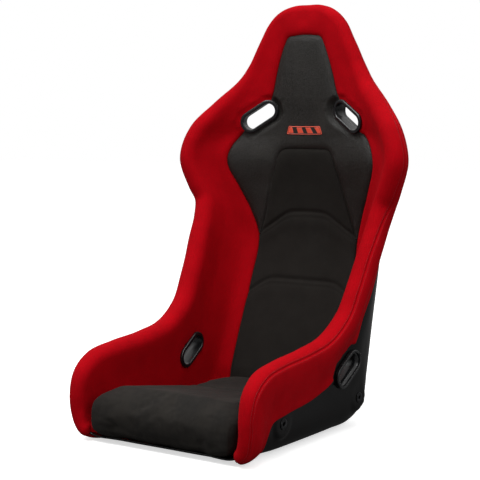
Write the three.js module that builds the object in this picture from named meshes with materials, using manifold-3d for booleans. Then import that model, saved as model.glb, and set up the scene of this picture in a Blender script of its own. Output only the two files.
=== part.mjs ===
// Fixed-back racing seat: a moulded shell with wrap-round bolsters, a leatherette shoulder insert,
// a quilted back panel, a lift-out seat cushion, harness slots and side mounts.
// Millimetres. +X is the sitter's left-to-right width, -Y the front, +Z up. The seat stands on z = 0.

import * as THREE from 'three';
import { mergeVertices } from 'three/addons/utils/BufferGeometryUtils.js';
import Module from 'manifold-3d';

const wasm = await Module();
wasm.setup();

// ---------------------------------------------------------------- driving dimensions

const SHELL_THICKNESS = 4;
const GAP = 0.3; // clearance kept between pieces that touch
const PAN = 5; // middle surface of the pan above the ground
const LIP = 14; // middle surface of the pan at its front edge
const FRONT = -268; // front edge of the shell
const REAR = 288; // rearmost point of the shell's middle surface
const SIDE = 207; // shell side at the thighs, from the centre line
const SHOULDER = 263; // centre of the edge roll at the shoulders
const CROWN = 871; // centre of the edge roll over the head

const SLOT_OPENING = { length: 80, width: 32 }; // takes a 75 mm harness strap
const MOUNT_SPACING = 290; // between the front and rear side mounts
const MOUNT_HEIGHT = 64;
const CUSHION_HALF_WIDTH = 170;

// ---------------------------------------------------------------- the shell's middle surface
// Each station is one row of the right-hand half: c on the centre line, e where the insert or pan ends,
// k the turn into the wing, m half way up the wing, r the centre of the padded edge roll.
// roll is the roll's radius, pad the foam thickness at e, wrap how far the cover returns over the outside
// and foot the row position where the bolster starts.
// Stations run from the middle of the front lip, round its corner, along the thighs, up the back and
// round the head to its top centre.

const row = (c, e, k, m, r, roll, pad, wrap, foot = 0.25) => ({ c, e, k, m, r, roll, pad, wrap, foot });
const STATIONS = [
  row([0, -190, PAN], [0, -212, PAN], [0, -232, 5.5], [0, -250, 8], [0, FRONT, LIP], 11, 7, 20, 0.9),
  row([0, -185, PAN], [50, -208, PAN], [75, -230, 5.5], [95, -250, 8], [105, FRONT, LIP], 11, 7, 20, 0.9),
  row([0, -178, PAN], [95, -205, PAN], [130, -228, 6], [152, -248, 9], [168, FRONT, LIP], 12, 7, 34, 0.8),
  row([0, -170, PAN], [118, -200, PAN], [160, -222, 8], [182, -246, 15], [192, -268, 27], 15, 7, 75, 0.68),
  row([0, -160, PAN], [130, -190, PAN], [175, -212, 12], [200, -242, 32], [203, -270, 56], 16.5, 8, 96, 0.5),
  row([0, -150, PAN], [138, -178, PAN], [184, -200, 16], [206, -235, 55], [205, -270, 94], 17.5, 8, 94, 0.4),
  row([0, -138, PAN], [144, -160, PAN], [189, -184, 18], [207, -220, 72], [204, -256, 131], 20, 8, 92, 0.33),
  row([0, -122, PAN], [148, -140, PAN], [191, -162, 18], [206, -196, 84], [202, -222, 154], 22.5, 8, 85, 0.28),
  row([0, -95, PAN], [150, -105, PAN], [192, -122, 18], [SIDE, -148, 88], [200, -165, 163], 24, 8, 82),
  row([0, -30, PAN], [150, -32, PAN], [192, -38, 18], [SIDE, -52, 92], [199, -70, 171], 25, 8, 78),
  row([0, 60, PAN], [150, 58, PAN], [192, 54, 19], [208, 30, 98], [201, 5, 185], 25, 8, 70),
  row([0, 130, 6], [150, 127, 7], [194, 122, 23], [209, 84, 112], [204, 52, 208], 25, 9, 62),
  row([0, 180, 28], [150, 178, 28], [194, 169, 46], [211, 125, 140], [208, 90, 240], 25, 14, 58),
  row([0, 198, 82], [148, 196, 82], [190, 189, 97], [211, 151, 185], [212, 118, 286], 25, 20, 56),
  row([0, 226, 175], [142, 225, 175], [184, 218, 190], [211, 180, 250], [215, 140, 326], 25, 21, 54),
  row([0, 260, 276], [136, 259, 278], [180, 244, 288], [211, 205, 325], [219, 161, 370], 25, 21, 50),
  row([0, 283, 370], [130, 281, 372], [176, 264, 380], [208, 228, 398], [222, 184, 416], 25, 21, 46),
  row([0, REAR, 440], [150, 272, 440], [188, 254, 446], [214, 229, 453], [230, 199, 461], 25, 21, 42),
  row([0, 286, 495], [172, 256, 492], [204, 240, 494], [230, 218, 496], [246, 193, 498], 25, 21, 40),
  row([0, 279, 552], [192, 238, 550], [222, 224, 552], [246, 206, 553], [SHOULDER, 187, 554], 25, 21, 40),
  row([0, 275, 604], [162, 255, 604], [198, 241, 606], [227, 219, 608], [246, 197, 609], 24, 20, 38),
  row([0, 271, 648], [114, 265, 650], [148, 255, 654], [179, 241, 658], [203, 223, 660], 23, 20, 36),
  row([0, 266, 690], [85, 266, 692], [110, 263, 700], [134, 257, 707], [153, 248, 712], 21, 19, 34),
  row([0, 263, 735], [72, 264, 738], [92, 263, 743], [112, 261, 748], [129, 257, 751], 19, 18, 32),
  row([0, 262, 772], [59, 263, 780], [73, 263, 789], [88, 262, 798], [101, 260, 806], 18, 18, 30),
  row([0, 262, 790], [50, 263, 803], [60, 263, 815], [72, 262, 828], [82, 262, 839], 18, 18, 28),
  row([0, 262, 800], [41, 263, 818], [46, 263, 831], [53, 263, 846], [59, 263, 860], 18, 18, 26),
  row([0, 262, 806], [21, 263, 822], [24, 263, 837], [28, 264, 854], [31, 266, 870], 18, 18, 25),
  row([0, 262, 809], [0, 263, 823], [0, 263, 838], [0, 265, 855], [0, 267, CROWN], 18, 18, 25),
];
const TOP = STATIONS.length - 1; // station at the top centre of the head
const NECK = 22; // station where the head bolster starts
const TIP = 2.3; // station where the bolsters start, under the front corner
const JUNCTION = 12.6; // station where the back meets the cushion
const INSERT_EDGE = 0.25; // row position of e, where the centre trim meets the bolster

const clamp = THREE.MathUtils.clamp;
const lerp = THREE.MathUtils.lerp;
const smoothstep = THREE.MathUtils.smoothstep;

// One curve along the seat for each column, carried past both ends by its own mirror image.
const columnCurves = ['c', 'e', 'k', 'm', 'r'].map((column) => {
  const right = STATIONS.map((place) => new THREE.Vector3(...place[column]));
  const left = (k) => new THREE.Vector3(-right[k].x, right[k].y, right[k].z);
  const points = [left(2), left(1), ...right, left(TOP - 1), left(TOP - 2)];
  return new THREE.CatmullRomCurve3(points, false, 'centripetal');
});
const MIRRORED_ENDS = 2;

const rowCache = new Map();
function rowCurve(u) {
  const key = u.toFixed(5);
  if (!rowCache.has(key)) {
    const along = (u + MIRRORED_ENDS) / (TOP + 2 * MIRRORED_ENDS);
    const half = columnCurves.map((curve) => curve.getPoint(along));
    const mirrored = half.slice(1).map((p) => new THREE.Vector3(-p.x, p.y, p.z)).reverse();
    rowCache.set(key, new THREE.CatmullRomCurve3([...mirrored, ...half], false, 'centripetal'));
  }
  return rowCache.get(key);
}

function stationValue(name, u) {
  const low = clamp(Math.floor(u), 0, TOP - 1);
  return lerp(STATIONS[low][name], STATIONS[low + 1][name], u - low);
}

// The shell's middle surface at station u, row position w (0 on the centre line, 1 at the edge roll).
function middle(u, w) {
  return rowCurve(u).getPoint(0.5 + w / 2);
}

const STEP_U = 0.02;
const STEP_W = 0.004;
function alongRow(u, w) {
  const from = clamp(w, 2 * STEP_W, 1 - STEP_W);
  return middle(u, from + STEP_W).sub(middle(u, from - STEP_W)).normalize();
}

function alongSeat(u, w) {
  return middle(u + STEP_U, w).sub(middle(u - STEP_U, w)).normalize();
}

// Unit normal towards the sitter.
function normal(u, w) {
  const n = alongRow(u, w).cross(alongSeat(u, Math.max(w, 2 * STEP_W)));
  if (w === 0 || u === 0 || u === TOP) n.x = 0;
  return n.normalize();
}

// Foam thickness over the middle surface, growing from the pad to the edge roll.
function padding(u, w) {
  const toRoll = smoothstep(w, INSERT_EDGE, 0.8);
  return lerp(stationValue('pad', u), stationValue('roll', u), toRoll);
}

function offset(u, w, height) {
  return middle(u, w).addScaledVector(normal(u, w), height);
}

// ---------------------------------------------------------------- mesh building

function geometryFrom(triangles) {
  const positions = new Float32Array(triangles.length * 3);
  triangles.forEach((p, i) => p.toArray(positions, i * 3));
  return new THREE.BufferGeometry().setAttribute('position', new THREE.BufferAttribute(positions, 3));
}

function quad(triangles, a, b, c, d) {
  triangles.push(a, b, c, a, c, d);
}

// The main body of a cut, without any slivers the cut left beside it.
function largestBody(solid) {
  return solid.decompose().sort((a, b) => b.volume() - a.volume())[0];
}

// Turns a triangle soup into a manifold-3d solid with its faces pointing out.
function solidFrom(geometry) {
  const bare = new THREE.BufferGeometry().setAttribute('position', geometry.getAttribute('position'));
  if (geometry.index) bare.setIndex(geometry.index);
  const merged = mergeVertices(bare, 1e-3);
  const triVerts = new Uint32Array(merged.index.array);
  const vertProperties = merged.getAttribute('position').array;
  const solid = new wasm.Manifold(new wasm.Mesh({ numProp: 3, vertProperties, triVerts }));
  if (solid.volume() > 0) return solid;
  for (let i = 0; i < triVerts.length; i += 3) {
    [triVerts[i + 1], triVerts[i + 2]] = [triVerts[i + 2], triVerts[i + 1]];
  }
  return new wasm.Manifold(new wasm.Mesh({ numProp: 3, vertProperties, triVerts }));
}

function geometryOf(solid) {
  const mesh = solid.getMesh();
  const positions = new Float32Array(mesh.numVert * 3);
  for (let i = 0; i < mesh.numVert; i += 1) {
    positions.set(mesh.vertProperties.subarray(i * mesh.numProp, i * mesh.numProp + 3), i * 3);
  }
  const geometry = new THREE.BufferGeometry();
  geometry.setAttribute('position', new THREE.BufferAttribute(positions, 3));
  geometry.setIndex(new THREE.BufferAttribute(new Uint32Array(mesh.triVerts), 1));
  return geometry.toNonIndexed();
}

// A body lofted through cross-sections, each given as an outside and an inside line of equal length.
function loft(sections) {
  const triangles = [];
  const loops = sections.map(({ outside, inside }) => [...outside, ...[...inside].reverse()]);
  for (let i = 0; i + 1 < loops.length; i += 1) {
    loops[i].forEach((point, j) => {
      const next = (j + 1) % loops[i].length;
      quad(triangles, point, loops[i][next], loops[i + 1][next], loops[i + 1][j]);
    });
  }
  const cap = ({ outside, inside }, reversed) => {
    for (let j = 0; j + 1 < outside.length; j += 1) {
      const corners = [outside[j], inside[j], inside[j + 1], outside[j + 1]];
      if (reversed) corners.reverse();
      quad(triangles, ...corners);
    }
  };
  cap(sections[0], false);
  cap(sections[sections.length - 1], true);
  return solidFrom(geometryFrom(triangles));
}

const mirrorPoint = (p) => new THREE.Vector3(-p.x, p.y, p.z);

// A sheet that crosses the centre line: the right half's faces and their mirror image, closed at its edges.
function symmetricSheet(us, ws, front, back) {
  const triangles = [];
  const frontGrid = us.map((u) => ws.map((w) => front(u, w)));
  const backGrid = us.map((u) => ws.map((w) => back(u, w)));
  for (let i = 0; i + 1 < us.length; i += 1) {
    for (let j = 0; j + 1 < ws.length; j += 1) {
      const [f0, f1, b0, b1] = [frontGrid[i], frontGrid[i + 1], backGrid[i], backGrid[i + 1]];
      quad(triangles, f0[j], f0[j + 1], f1[j + 1], f1[j]);
      quad(triangles, b0[j], b1[j], b1[j + 1], b0[j + 1]);
    }
    const edge = ws.length - 1;
    quad(triangles, frontGrid[i][edge], backGrid[i][edge], backGrid[i + 1][edge], frontGrid[i + 1][edge]);
  }
  const wall = (i, reversed) => {
    for (let j = 0; j + 1 < ws.length; j += 1) {
      const corners = [frontGrid[i][j], backGrid[i][j], backGrid[i][j + 1], frontGrid[i][j + 1]];
      if (reversed) corners.reverse();
      quad(triangles, ...corners);
    }
  };
  if (us[0] !== 0) wall(0, false);
  if (us[us.length - 1] !== TOP) wall(us.length - 1, true);
  const mirrored = [];
  for (let i = 0; i < triangles.length; i += 3) {
    mirrored.push(mirrorPoint(triangles[i]), mirrorPoint(triangles[i + 2]), mirrorPoint(triangles[i + 1]));
  }
  return solidFrom(geometryFrom([...triangles, ...mirrored]));
}

const mirrorSections = (sections) => sections.map(({ outside, inside }) => ({
  outside: outside.map(mirrorPoint),
  inside: inside.map(mirrorPoint),
}));

// A convex cutter or block: a polygon in the plane of two axes, pushed along a third.
function prism(outline, origin, xAxis, yAxis, depth) {
  const zAxis = new THREE.Vector3().crossVectors(xAxis, yAxis);
  const shape = new THREE.Shape(outline.map(([x, y]) => new THREE.Vector2(x, y)));
  const geometry = new THREE.ExtrudeGeometry(shape, { depth, bevelEnabled: false });
  geometry.applyMatrix4(new THREE.Matrix4().makeBasis(xAxis, yAxis, zAxis).setPosition(origin));
  return solidFrom(geometry);
}

function box(low, high) {
  const size = high.map((value, axis) => value - low[axis]);
  const geometry = new THREE.BoxGeometry(...size);
  geometry.translate(...low.map((value, axis) => value + size[axis] / 2));
  return solidFrom(geometry);
}

// A bar of round section along an axis, made of turned steps: [radius, height] from bottom to top.
function turned(profile, origin, axis, sides = 16) {
  const points = profile.map(([radius, height]) => new THREE.Vector2(radius, height));
  const geometry = new THREE.LatheGeometry(points, sides);
  const turn = new THREE.Quaternion().setFromUnitVectors(new THREE.Vector3(0, 1, 0), axis);
  geometry.applyQuaternion(turn).translate(origin.x, origin.y, origin.z);
  return solidFrom(geometry);
}

// ---------------------------------------------------------------- stations and rows used by every layer

const CLOSEST_STATIONS = 0.05; // stations nearer than this to an end are left out
function stationsBetween(from, to) {
  const inside = (u) => u > from + CLOSEST_STATIONS && u < to - CLOSEST_STATIONS;
  const inner = STATIONS.map((place, u) => u).filter(inside);
  return [from, ...inner, to];
}
const CENTRE_ROW = [0, 0.08, 0.16, INSERT_EDGE];
const WING_ROW = [0.375, 0.5, 0.625, 0.75, 0.875, 1];
const WHOLE_ROW = [...CENTRE_ROW, ...WING_ROW];
const BOLSTER_STEPS = 6;

// ---------------------------------------------------------------- shell

const SHELL_HALF = SHELL_THICKNESS / 2;
const EDGE_ROOM = 2.9; // radius of the room round the shell's edge
const FOOT = { length: 70, width: 54, fromCentre: 105, spacing: 230, centreY: -45 };

function shellSolid() {
  let shell = symmetricSheet(
    stationsBetween(0, TOP),
    WHOLE_ROW,
    (u, w) => offset(u, w, SHELL_HALF),
    (u, w) => offset(u, w, -SHELL_HALF),
  );
  for (const side of [-1, 1]) {
    for (const end of [-1, 1]) {
      const x = side * FOOT.fromCentre;
      const y = FOOT.centreY + (end * FOOT.spacing) / 2;
      const low = [x - FOOT.width / 2, y - FOOT.length / 2, 0];
      const high = [x + FOOT.width / 2, y + FOOT.length / 2, PAN];
      shell = shell.add(box(low, high));
      shell = shell.add(mountPad(side, end));
    }
  }
  for (const slot of SLOTS) {
    shell = shell.subtract(slotCutter(slot, SLEEVE_WALL + GAP));
    for (const end of [-1, 1]) shell = shell.subtract(screwHole(slot, end));
  }
  for (const side of [-1, 1]) {
    for (const end of [-1, 1]) shell = shell.subtract(mountHole(side, end, MOUNT_BODY_RADIUS + GAP));
  }
  return shell;
}

// The shell with its clearance all round, cut out of whatever is laid over it.
function shellRoomSolid() {
  const edge = stationsBetween(0, TOP).map((u) => ({
    outside: [30, 90, 150].map((angle) => rollPoint(u, angle, EDGE_ROOM)),
    inside: [-30, -90, -150].map((angle) => rollPoint(u, angle, EDGE_ROOM)),
  }));
  return symmetricSheet(
    stationsBetween(0, TOP),
    WHOLE_ROW,
    (u, w) => offset(u, w, SHELL_HALF + GAP),
    (u, w) => offset(u, w, -SHELL_HALF - GAP),
  ).add(loft(edge)).add(loft(mirrorSections(edge)));
}
const shellRoom = shellRoomSolid();

// ---------------------------------------------------------------- bolsters and rim bands

const SHELL_SKIN = 0.5; // foam is drawn this close to the shell's middle, then cut clear of it
const EDGE_GAP = 0.004; // row positions left free between the insert and the bolster
const TIP_RADIUS = 2.8; // hollow in the roll that takes the shell's edge
const SEAM_ANGLE = 118; // of the double seam round the roll, from the inner face
const SEAM_GAP = 7;
const RIM_EDGE_THICKNESS = 5; // of the cover where it ends on the shell's outside
const RIM_STEPS = 4;
const ROLL_STEPS = 4;

// A point at an angle round the edge roll: 0 on the inner face, 90 at the crest, 180 outside.
function rollPoint(u, degrees, radius) {
  const centre = middle(u, 1);
  const n = normal(u, 1);
  const rimDirection = alongSeat(u, 1);
  const outward = new THREE.Vector3().crossVectors(rimDirection, n).normalize();
  if (outward.dot(alongRow(u, 1)) < 0) outward.negate();
  if (u === TOP) outward.setX(0).normalize();
  const angle = THREE.MathUtils.degToRad(degrees);
  return centre
    .addScaledVector(n, radius * Math.cos(angle))
    .addScaledVector(outward, radius * Math.sin(angle));
}

function bolsterSection(u) {
  const foot = stationValue('foot', u) + EDGE_GAP;
  const row = Array.from({ length: BOLSTER_STEPS + 1 }, (_, i) => lerp(foot, 1, i / BOLSTER_STEPS));
  const outside = row.map((w) => offset(u, w, padding(u, w)));
  const inside = row.map((w) => offset(u, w, SHELL_SKIN));
  for (let i = 1; i <= ROLL_STEPS; i += 1) {
    const angle = (SEAM_ANGLE * i) / ROLL_STEPS;
    outside.push(rollPoint(u, angle, stationValue('roll', u)));
    inside.push(rollPoint(u, angle, TIP_RADIUS));
  }
  return { outside, inside };
}

// Row position where the cover ends on the outside, found from its length over the shell.
function wrapEnd(u) {
  const edge = middle(u, 1);
  const wrap = stationValue('wrap', u);
  let low = 0.3;
  let high = 1;
  for (let i = 0; i < 18; i += 1) {
    const w = (low + high) / 2;
    if (middle(u, w).distanceTo(edge) > wrap) low = w;
    else high = w;
  }
  return high;
}

function rimSection(u) {
  const outside = [];
  const inside = [];
  const roll = stationValue('roll', u);
  for (const angle of [SEAM_ANGLE + SEAM_GAP, 138, 160, 180]) {
    outside.push(rollPoint(u, angle, roll));
    inside.push(rollPoint(u, angle, angle < 130 ? 2 * TIP_RADIUS : TIP_RADIUS));
  }
  const end = wrapEnd(u);
  for (let i = 1; i <= RIM_STEPS; i += 1) {
    const part = i / RIM_STEPS;
    const w = lerp(1, end, part);
    const fall = (1 + Math.cos(Math.PI * part)) / 2;
    outside.push(offset(u, w, -lerp(RIM_EDGE_THICKNESS, roll, fall)));
    inside.push(offset(u, w, -SHELL_SKIN));
  }
  return { outside, inside };
}

const HALF_GAP_STATIONS = 0.006;
function sideStations() {
  return stationsBetween(TIP, NECK - HALF_GAP_STATIONS);
}

// Sections from the right side of the neck, over the head, to the left side.
function headSections(section) {
  const right = stationsBetween(NECK + HALF_GAP_STATIONS, TOP).map(section);
  return [...right, ...mirrorSections(right.slice(0, -1)).reverse()];
}

// Cuts a cover piece clear of the shell and of the bezels.
function fitted(solid) {
  let cut = solid.subtract(shellRoom);
  for (const slot of SLOTS) {
    cut = cut.subtract(slotCutter(slot, SLEEVE_WALL + GAP));
    cut = cut.subtract(flangeRecess(slot));
    cut = cut.subtract(outerRecess(slot));
  }
  return largestBody(cut);
}

function bolsterSolid(side) {
  const sections = sideStations().map(bolsterSection);
  let bolster = fitted(loft(side > 0 ? sections : mirrorSections(sections)));
  for (const end of [-1, 1]) bolster = bolster.subtract(mountClearance(side, end));
  return largestBody(bolster);
}

function rimSolid(side) {
  const sections = sideStations().map(rimSection);
  const rim = fitted(loft(side > 0 ? sections : mirrorSections(sections)));
  return largestBody(rim.subtract(mountClearance(side, -1)));
}

// ---------------------------------------------------------------- insert and back panels

const PANEL_TOP = 574;
const WAIST_HEIGHT = 378;
const PANEL_OUTLINE = [
  [50, PANEL_TOP],
  [61, 571],
  [70, 562],
  [76, 549],
  [92, 502],
  [112, 422],
  [126, WAIST_HEIGHT],
];
const BEYOND = 240; // past the trim on every side
const CHEVRONS = [
  { height: 434, flat: 50, endHeight: 392, end: 115 },
  { height: 279, flat: 86, endHeight: 247, end: 136 },
];
const Z_AXIS = new THREE.Vector3(0, 0, 1);
const X_AXIS = new THREE.Vector3(1, 0, 0);
const BEHIND = new THREE.Vector3(0, 320, 0); // where prisms that cut the back start

const mirroredOutline = (points) => [...points, ...[...points].reverse().map(([x, z]) => [-x, z])];

// Cutter over the whole depth of the back for an outline in x and z.
function backPrism(outline) {
  return prism(outline, BEHIND, X_AXIS, Z_AXIS, 2 * BEHIND.y);
}

// The area of the quilted panel; grow widens it by the gap to the insert around it.
function panelPrism(grow) {
  const upper = PANEL_OUTLINE.map(([x, z]) => [x + grow, z + (z === PANEL_TOP ? grow : 0)]);
  const lower = [[BEYOND, WAIST_HEIGHT], [BEYOND, 0]];
  return backPrism(mirroredOutline([...upper, ...lower]));
}

// Everything above a chevron, lifted by shift.
function aboveChevron({ height, flat, endHeight, end }, shift) {
  const slope = (height - endHeight) / (end - flat);
  const outer = [BEYOND, height - slope * (BEYOND - flat) + shift];
  return backPrism(mirroredOutline([[BEYOND, 900], outer, [flat, height + shift]].reverse()));
}

function backTrim() {
  return symmetricSheet(
    stationsBetween(JUNCTION, TOP),
    CENTRE_ROW,
    (u, w) => offset(u, w, padding(u, w)),
    (u, w) => offset(u, w, SHELL_SKIN),
  ).subtract(shellRoom);
}

function panelPieces() {
  const panel = backTrim().intersect(panelPrism(0));
  const [upper, lower] = CHEVRONS;
  const middlePart = panel.subtract(aboveChevron(upper, 0)).intersect(aboveChevron(lower, GAP));
  return {
    back_panel_upper: largestBody(panel.intersect(aboveChevron(upper, GAP))),
    back_panel_middle: largestBody(middlePart),
    back_panel_lower: largestBody(panel.subtract(aboveChevron(lower, 0))),
  };
}

function insertSolid() {
  const room = badgeSheet(BADGE.room, -BADGE.sunk, 12);
  const insert = backTrim().subtract(panelPrism(GAP)).subtract(room);
  return fitted(insert);
}

// A patch of the insert's surface where the badge sits: grow widens it, low and high are its two faces.
const BADGE = { from: 20.08, to: 20.48, row: 0.07, thickness: 1.6, sunk: 1.5, room: 0.01 };
function badgeSheet(grow, low, high) {
  return symmetricSheet(
    [BADGE.from - grow, (BADGE.from + BADGE.to) / 2, BADGE.to + grow],
    [0, BADGE.row / 2, BADGE.row + grow / 2],
    (u, w) => offset(u, w, padding(u, w) + high),
    (u, w) => offset(u, w, padding(u, w) + low),
  );
}

// ---------------------------------------------------------------- harness slots and their bezels

const SLEEVE_WALL = 2.5;
const FLANGE_WIDTH = 8;
const FLANGE_SEAT = 2; // how deep the inner flange sits in the cover
const SCREW_RADIUS = 1.75;
const SCREW_OFFSET = 5.4; // of a bezel screw beyond the end of the opening
const ARC_STEPS = 5;

// Place, surface normal and long axis of a slot, from its middle and the way its long axis leans.
function placeSlot(name, side, u, w, lean, turn = 0) {
  const seat = offset(u, w, padding(u, w));
  const n = normal(u, w);
  n.setX(n.x - turn).normalize();
  const along = lean.clone().addScaledVector(n, -lean.dot(n)).normalize();
  const onShell = middle(u, w);
  if (side < 0) {
    for (const vector of [seat, n, along, onShell]) vector.x *= -1;
  }
  const depth = seat.distanceTo(onShell) + SHELL_HALF;
  return { name, side, seat, onShell, n, along, across: new THREE.Vector3().crossVectors(n, along), depth };
}

const SHOULDER_LEAN = new THREE.Vector3(42, -14, -28);
const LAP_LEAN = new THREE.Vector3(0, 84, 55);
const SHOULDER_TURN = 0.16; // how far the shoulder slots face in from the cover around them
const SLOTS = [-1, 1].flatMap((side) => {
  const hand = side < 0 ? 'left' : 'right';
  return [
    placeSlot(`${hand}_shoulder`, side, 20.92, INSERT_EDGE, SHOULDER_LEAN, SHOULDER_TURN),
    placeSlot(`${hand}_lap`, side, 11.08, 0.8, LAP_LEAN),
  ];
});

// Racetrack line around a slot's opening, widened by grow, at a height over the cover.
function racetrack(slot, grow, height) {
  const radius = SLOT_OPENING.width / 2 + grow;
  const straight = (SLOT_OPENING.length - SLOT_OPENING.width) / 2;
  const points = [];
  for (const end of [1, -1]) {
    for (let i = 0; i <= ARC_STEPS; i += 1) {
      const angle = (end > 0 ? -Math.PI / 2 : Math.PI / 2) + (Math.PI * i) / ARC_STEPS;
      points.push(
        slot.seat.clone()
          .addScaledVector(slot.along, end * straight + radius * Math.cos(angle))
          .addScaledVector(slot.across, radius * Math.sin(angle))
          .addScaledVector(slot.n, height),
      );
    }
  }
  return points;
}

// A ring round the slot whose cross-section is a closed list of [outward, height].
function slotRing(slot, profile) {
  const lines = profile.map(([grow, height]) => racetrack(slot, grow, height));
  const triangles = [];
  lines.forEach((line, i) => {
    const next = lines[(i + 1) % lines.length];
    line.forEach((point, j) => {
      const k = (j + 1) % line.length;
      quad(triangles, point, line[k], next[k], next[j]);
    });
  });
  return solidFrom(geometryFrom(triangles));
}

// A racetrack plug between two heights, used as a cutter.
function slotPlug(slot, grow, low, high) {
  const bottom = racetrack(slot, grow, low);
  const top = racetrack(slot, grow, high);
  const triangles = [];
  bottom.forEach((point, j) => {
    const k = (j + 1) % bottom.length;
    quad(triangles, point, bottom[k], top[k], top[j]);
    if (j > 0 && k > 0) {
      triangles.push(bottom[0], bottom[k], point);
      triangles.push(top[0], top[j], top[k]);
    }
  });
  return solidFrom(geometryFrom(triangles));
}

const slotCutter = (slot, grow) => slotPlug(slot, grow, -slot.depth - 12, 40);
const outerRecess = (slot) => {
  const shellFace = -slot.depth + SHELL_THICKNESS;
  return slotPlug(slot, FLANGE_WIDTH + 2, -slot.depth - 30, shellFace);
};
const flangeRecess = (slot) => slotPlug(slot, FLANGE_WIDTH + GAP, -FLANGE_SEAT - GAP, 40);

function innerBezel(slot) {
  const bottom = -slot.depth - 3.5;
  return slotRing(slot, [
    [0, bottom],
    [0, 2],
    [1, 4],
    [3, 5],
    [6, 4.4],
    [FLANGE_WIDTH, 2],
    [FLANGE_WIDTH, -FLANGE_SEAT],
    [SLEEVE_WALL, -FLANGE_SEAT],
    [SLEEVE_WALL, bottom],
  ]);
}

// The ring behind the shell, its face shaped to the shell it lies on.
function outerBezel(slot) {
  const face = -slot.depth - 2.5;
  const inShell = -slot.depth + SHELL_THICKNESS - GAP;
  let ring = slotRing(slot, [
    [SLEEVE_WALL + GAP, inShell],
    [FLANGE_WIDTH, inShell],
    [FLANGE_WIDTH, face - 2],
    [FLANGE_WIDTH - 1.8, face - 4.5],
    [SLEEVE_WALL + GAP + 1.2, face - 4.5],
    [SLEEVE_WALL + GAP, face - 3],
  ]);
  for (const end of [-1, 1]) ring = ring.subtract(screwHole(slot, end));
  return largestBody(ring.subtract(shellRoom));
}

function screwOrigin(slot, end) {
  const reach = SLOT_OPENING.length / 2 + SCREW_OFFSET;
  return slot.seat.clone()
    .addScaledVector(slot.along, end * reach)
    .addScaledVector(slot.n, -slot.depth - 7 - GAP);
}

function screwHole(slot, end) {
  const radius = SCREW_RADIUS + GAP;
  return turned([[0, -3], [radius, -3], [radius, 14], [0, 14]], screwOrigin(slot, end), slot.n, 8);
}

function bezelScrew(slot, end) {
  const head = [[0, -2.2], [2.4, -1.8], [3.4, -0.6], [3.4, 0]];
  const profile = [...head, [SCREW_RADIUS, 0], [SCREW_RADIUS, 8], [0, 8.6]];
  return turned(profile, screwOrigin(slot, end), slot.n, 8);
}

// ---------------------------------------------------------------- side mounts

const MOUNT_FACE = SIDE + 2; // outside face of the moulded pads
const MOUNT_DEPTH = 14; // of the moulded pad, into the foam
const MOUNT_CENTRE_Y = -10;
const MOUNT_PAD_RADIUS = 26;
const MOUNT_BODY_RADIUS = 7;
const MOUNT_THREAD_RADIUS = 4;
const PLATE = { length: 40, height: 28, thickness: 3 };

const mountPoint = (side, end, x) => new THREE.Vector3(
  side * x,
  MOUNT_CENTRE_Y + (end * MOUNT_SPACING) / 2,
  MOUNT_HEIGHT,
);
const outwardAxis = (side) => new THREE.Vector3(side, 0, 0);

// A turned piece on the axis of a side mount; height 0 is the pad's outside face.
function turnedAtMount(profile, side, end, sides = 16) {
  return turned(profile, mountPoint(side, end, MOUNT_FACE), outwardAxis(side), sides);
}

function mountPad(side, end) {
  const [radius, inner] = [MOUNT_PAD_RADIUS, -MOUNT_DEPTH];
  return turnedAtMount([[0, inner], [radius, inner], [radius - 1, 0], [0, 0]], side, end, 20);
}

function mountHole(side, end, radius) {
  return turnedAtMount([[0, -30], [radius, -30], [radius, 5], [0, 5]], side, end);
}

// The room left for a pad in the padding over it.
function mountClearance(side, end) {
  const [radius, reach] = [MOUNT_PAD_RADIUS + 2, 25];
  return turnedAtMount([[0, -reach], [radius, -reach], [radius, reach], [0, reach]], side, end);
}

// Steel threaded insert, open right through, with a thin flange on the outside of the pad.
function mountInsert(side, end) {
  const [thread, body, flange] = [MOUNT_THREAD_RADIUS, MOUNT_BODY_RADIUS, 11];
  const bottom = -MOUNT_DEPTH - PLATE.thickness;
  const inner = [[thread, bottom], [body, bottom], [body, GAP]];
  const profile = [...inner, [flange, GAP], [flange, 1.6], [thread, 1.6], inner[0]];
  return turnedAtMount(profile, side, end);
}

function plateX() {
  return MOUNT_FACE - MOUNT_DEPTH - GAP;
}

function mountPlate(side, end) {
  const centre = mountPoint(side, end, plateX() - PLATE.thickness / 2);
  const half = [PLATE.thickness / 2, PLATE.length / 2, PLATE.height / 2];
  const low = centre.toArray().map((value, axis) => value - half[axis]);
  const high = centre.toArray().map((value, axis) => value + half[axis]);
  return box(low, high).subtract(mountHole(side, end, MOUNT_BODY_RADIUS + GAP));
}

// ---------------------------------------------------------------- seat cushion

const STRIP = { width: 24, length: 300, thickness: 1.5, x: 80 };
const PAN_TOP = PAN + SHELL_HALF;
const HOOK_Z = PAN_TOP + GAP;
const LOOP_Z = HOOK_Z + STRIP.thickness + GAP;
const BASE_Z = LOOP_Z + STRIP.thickness + GAP;
const BASE_THICKNESS = 3;
const FOAM_Z = BASE_Z + BASE_THICKNESS + GAP;
const COVER_THICKNESS = 2.5;
const COVER_GAP = 2;

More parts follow.
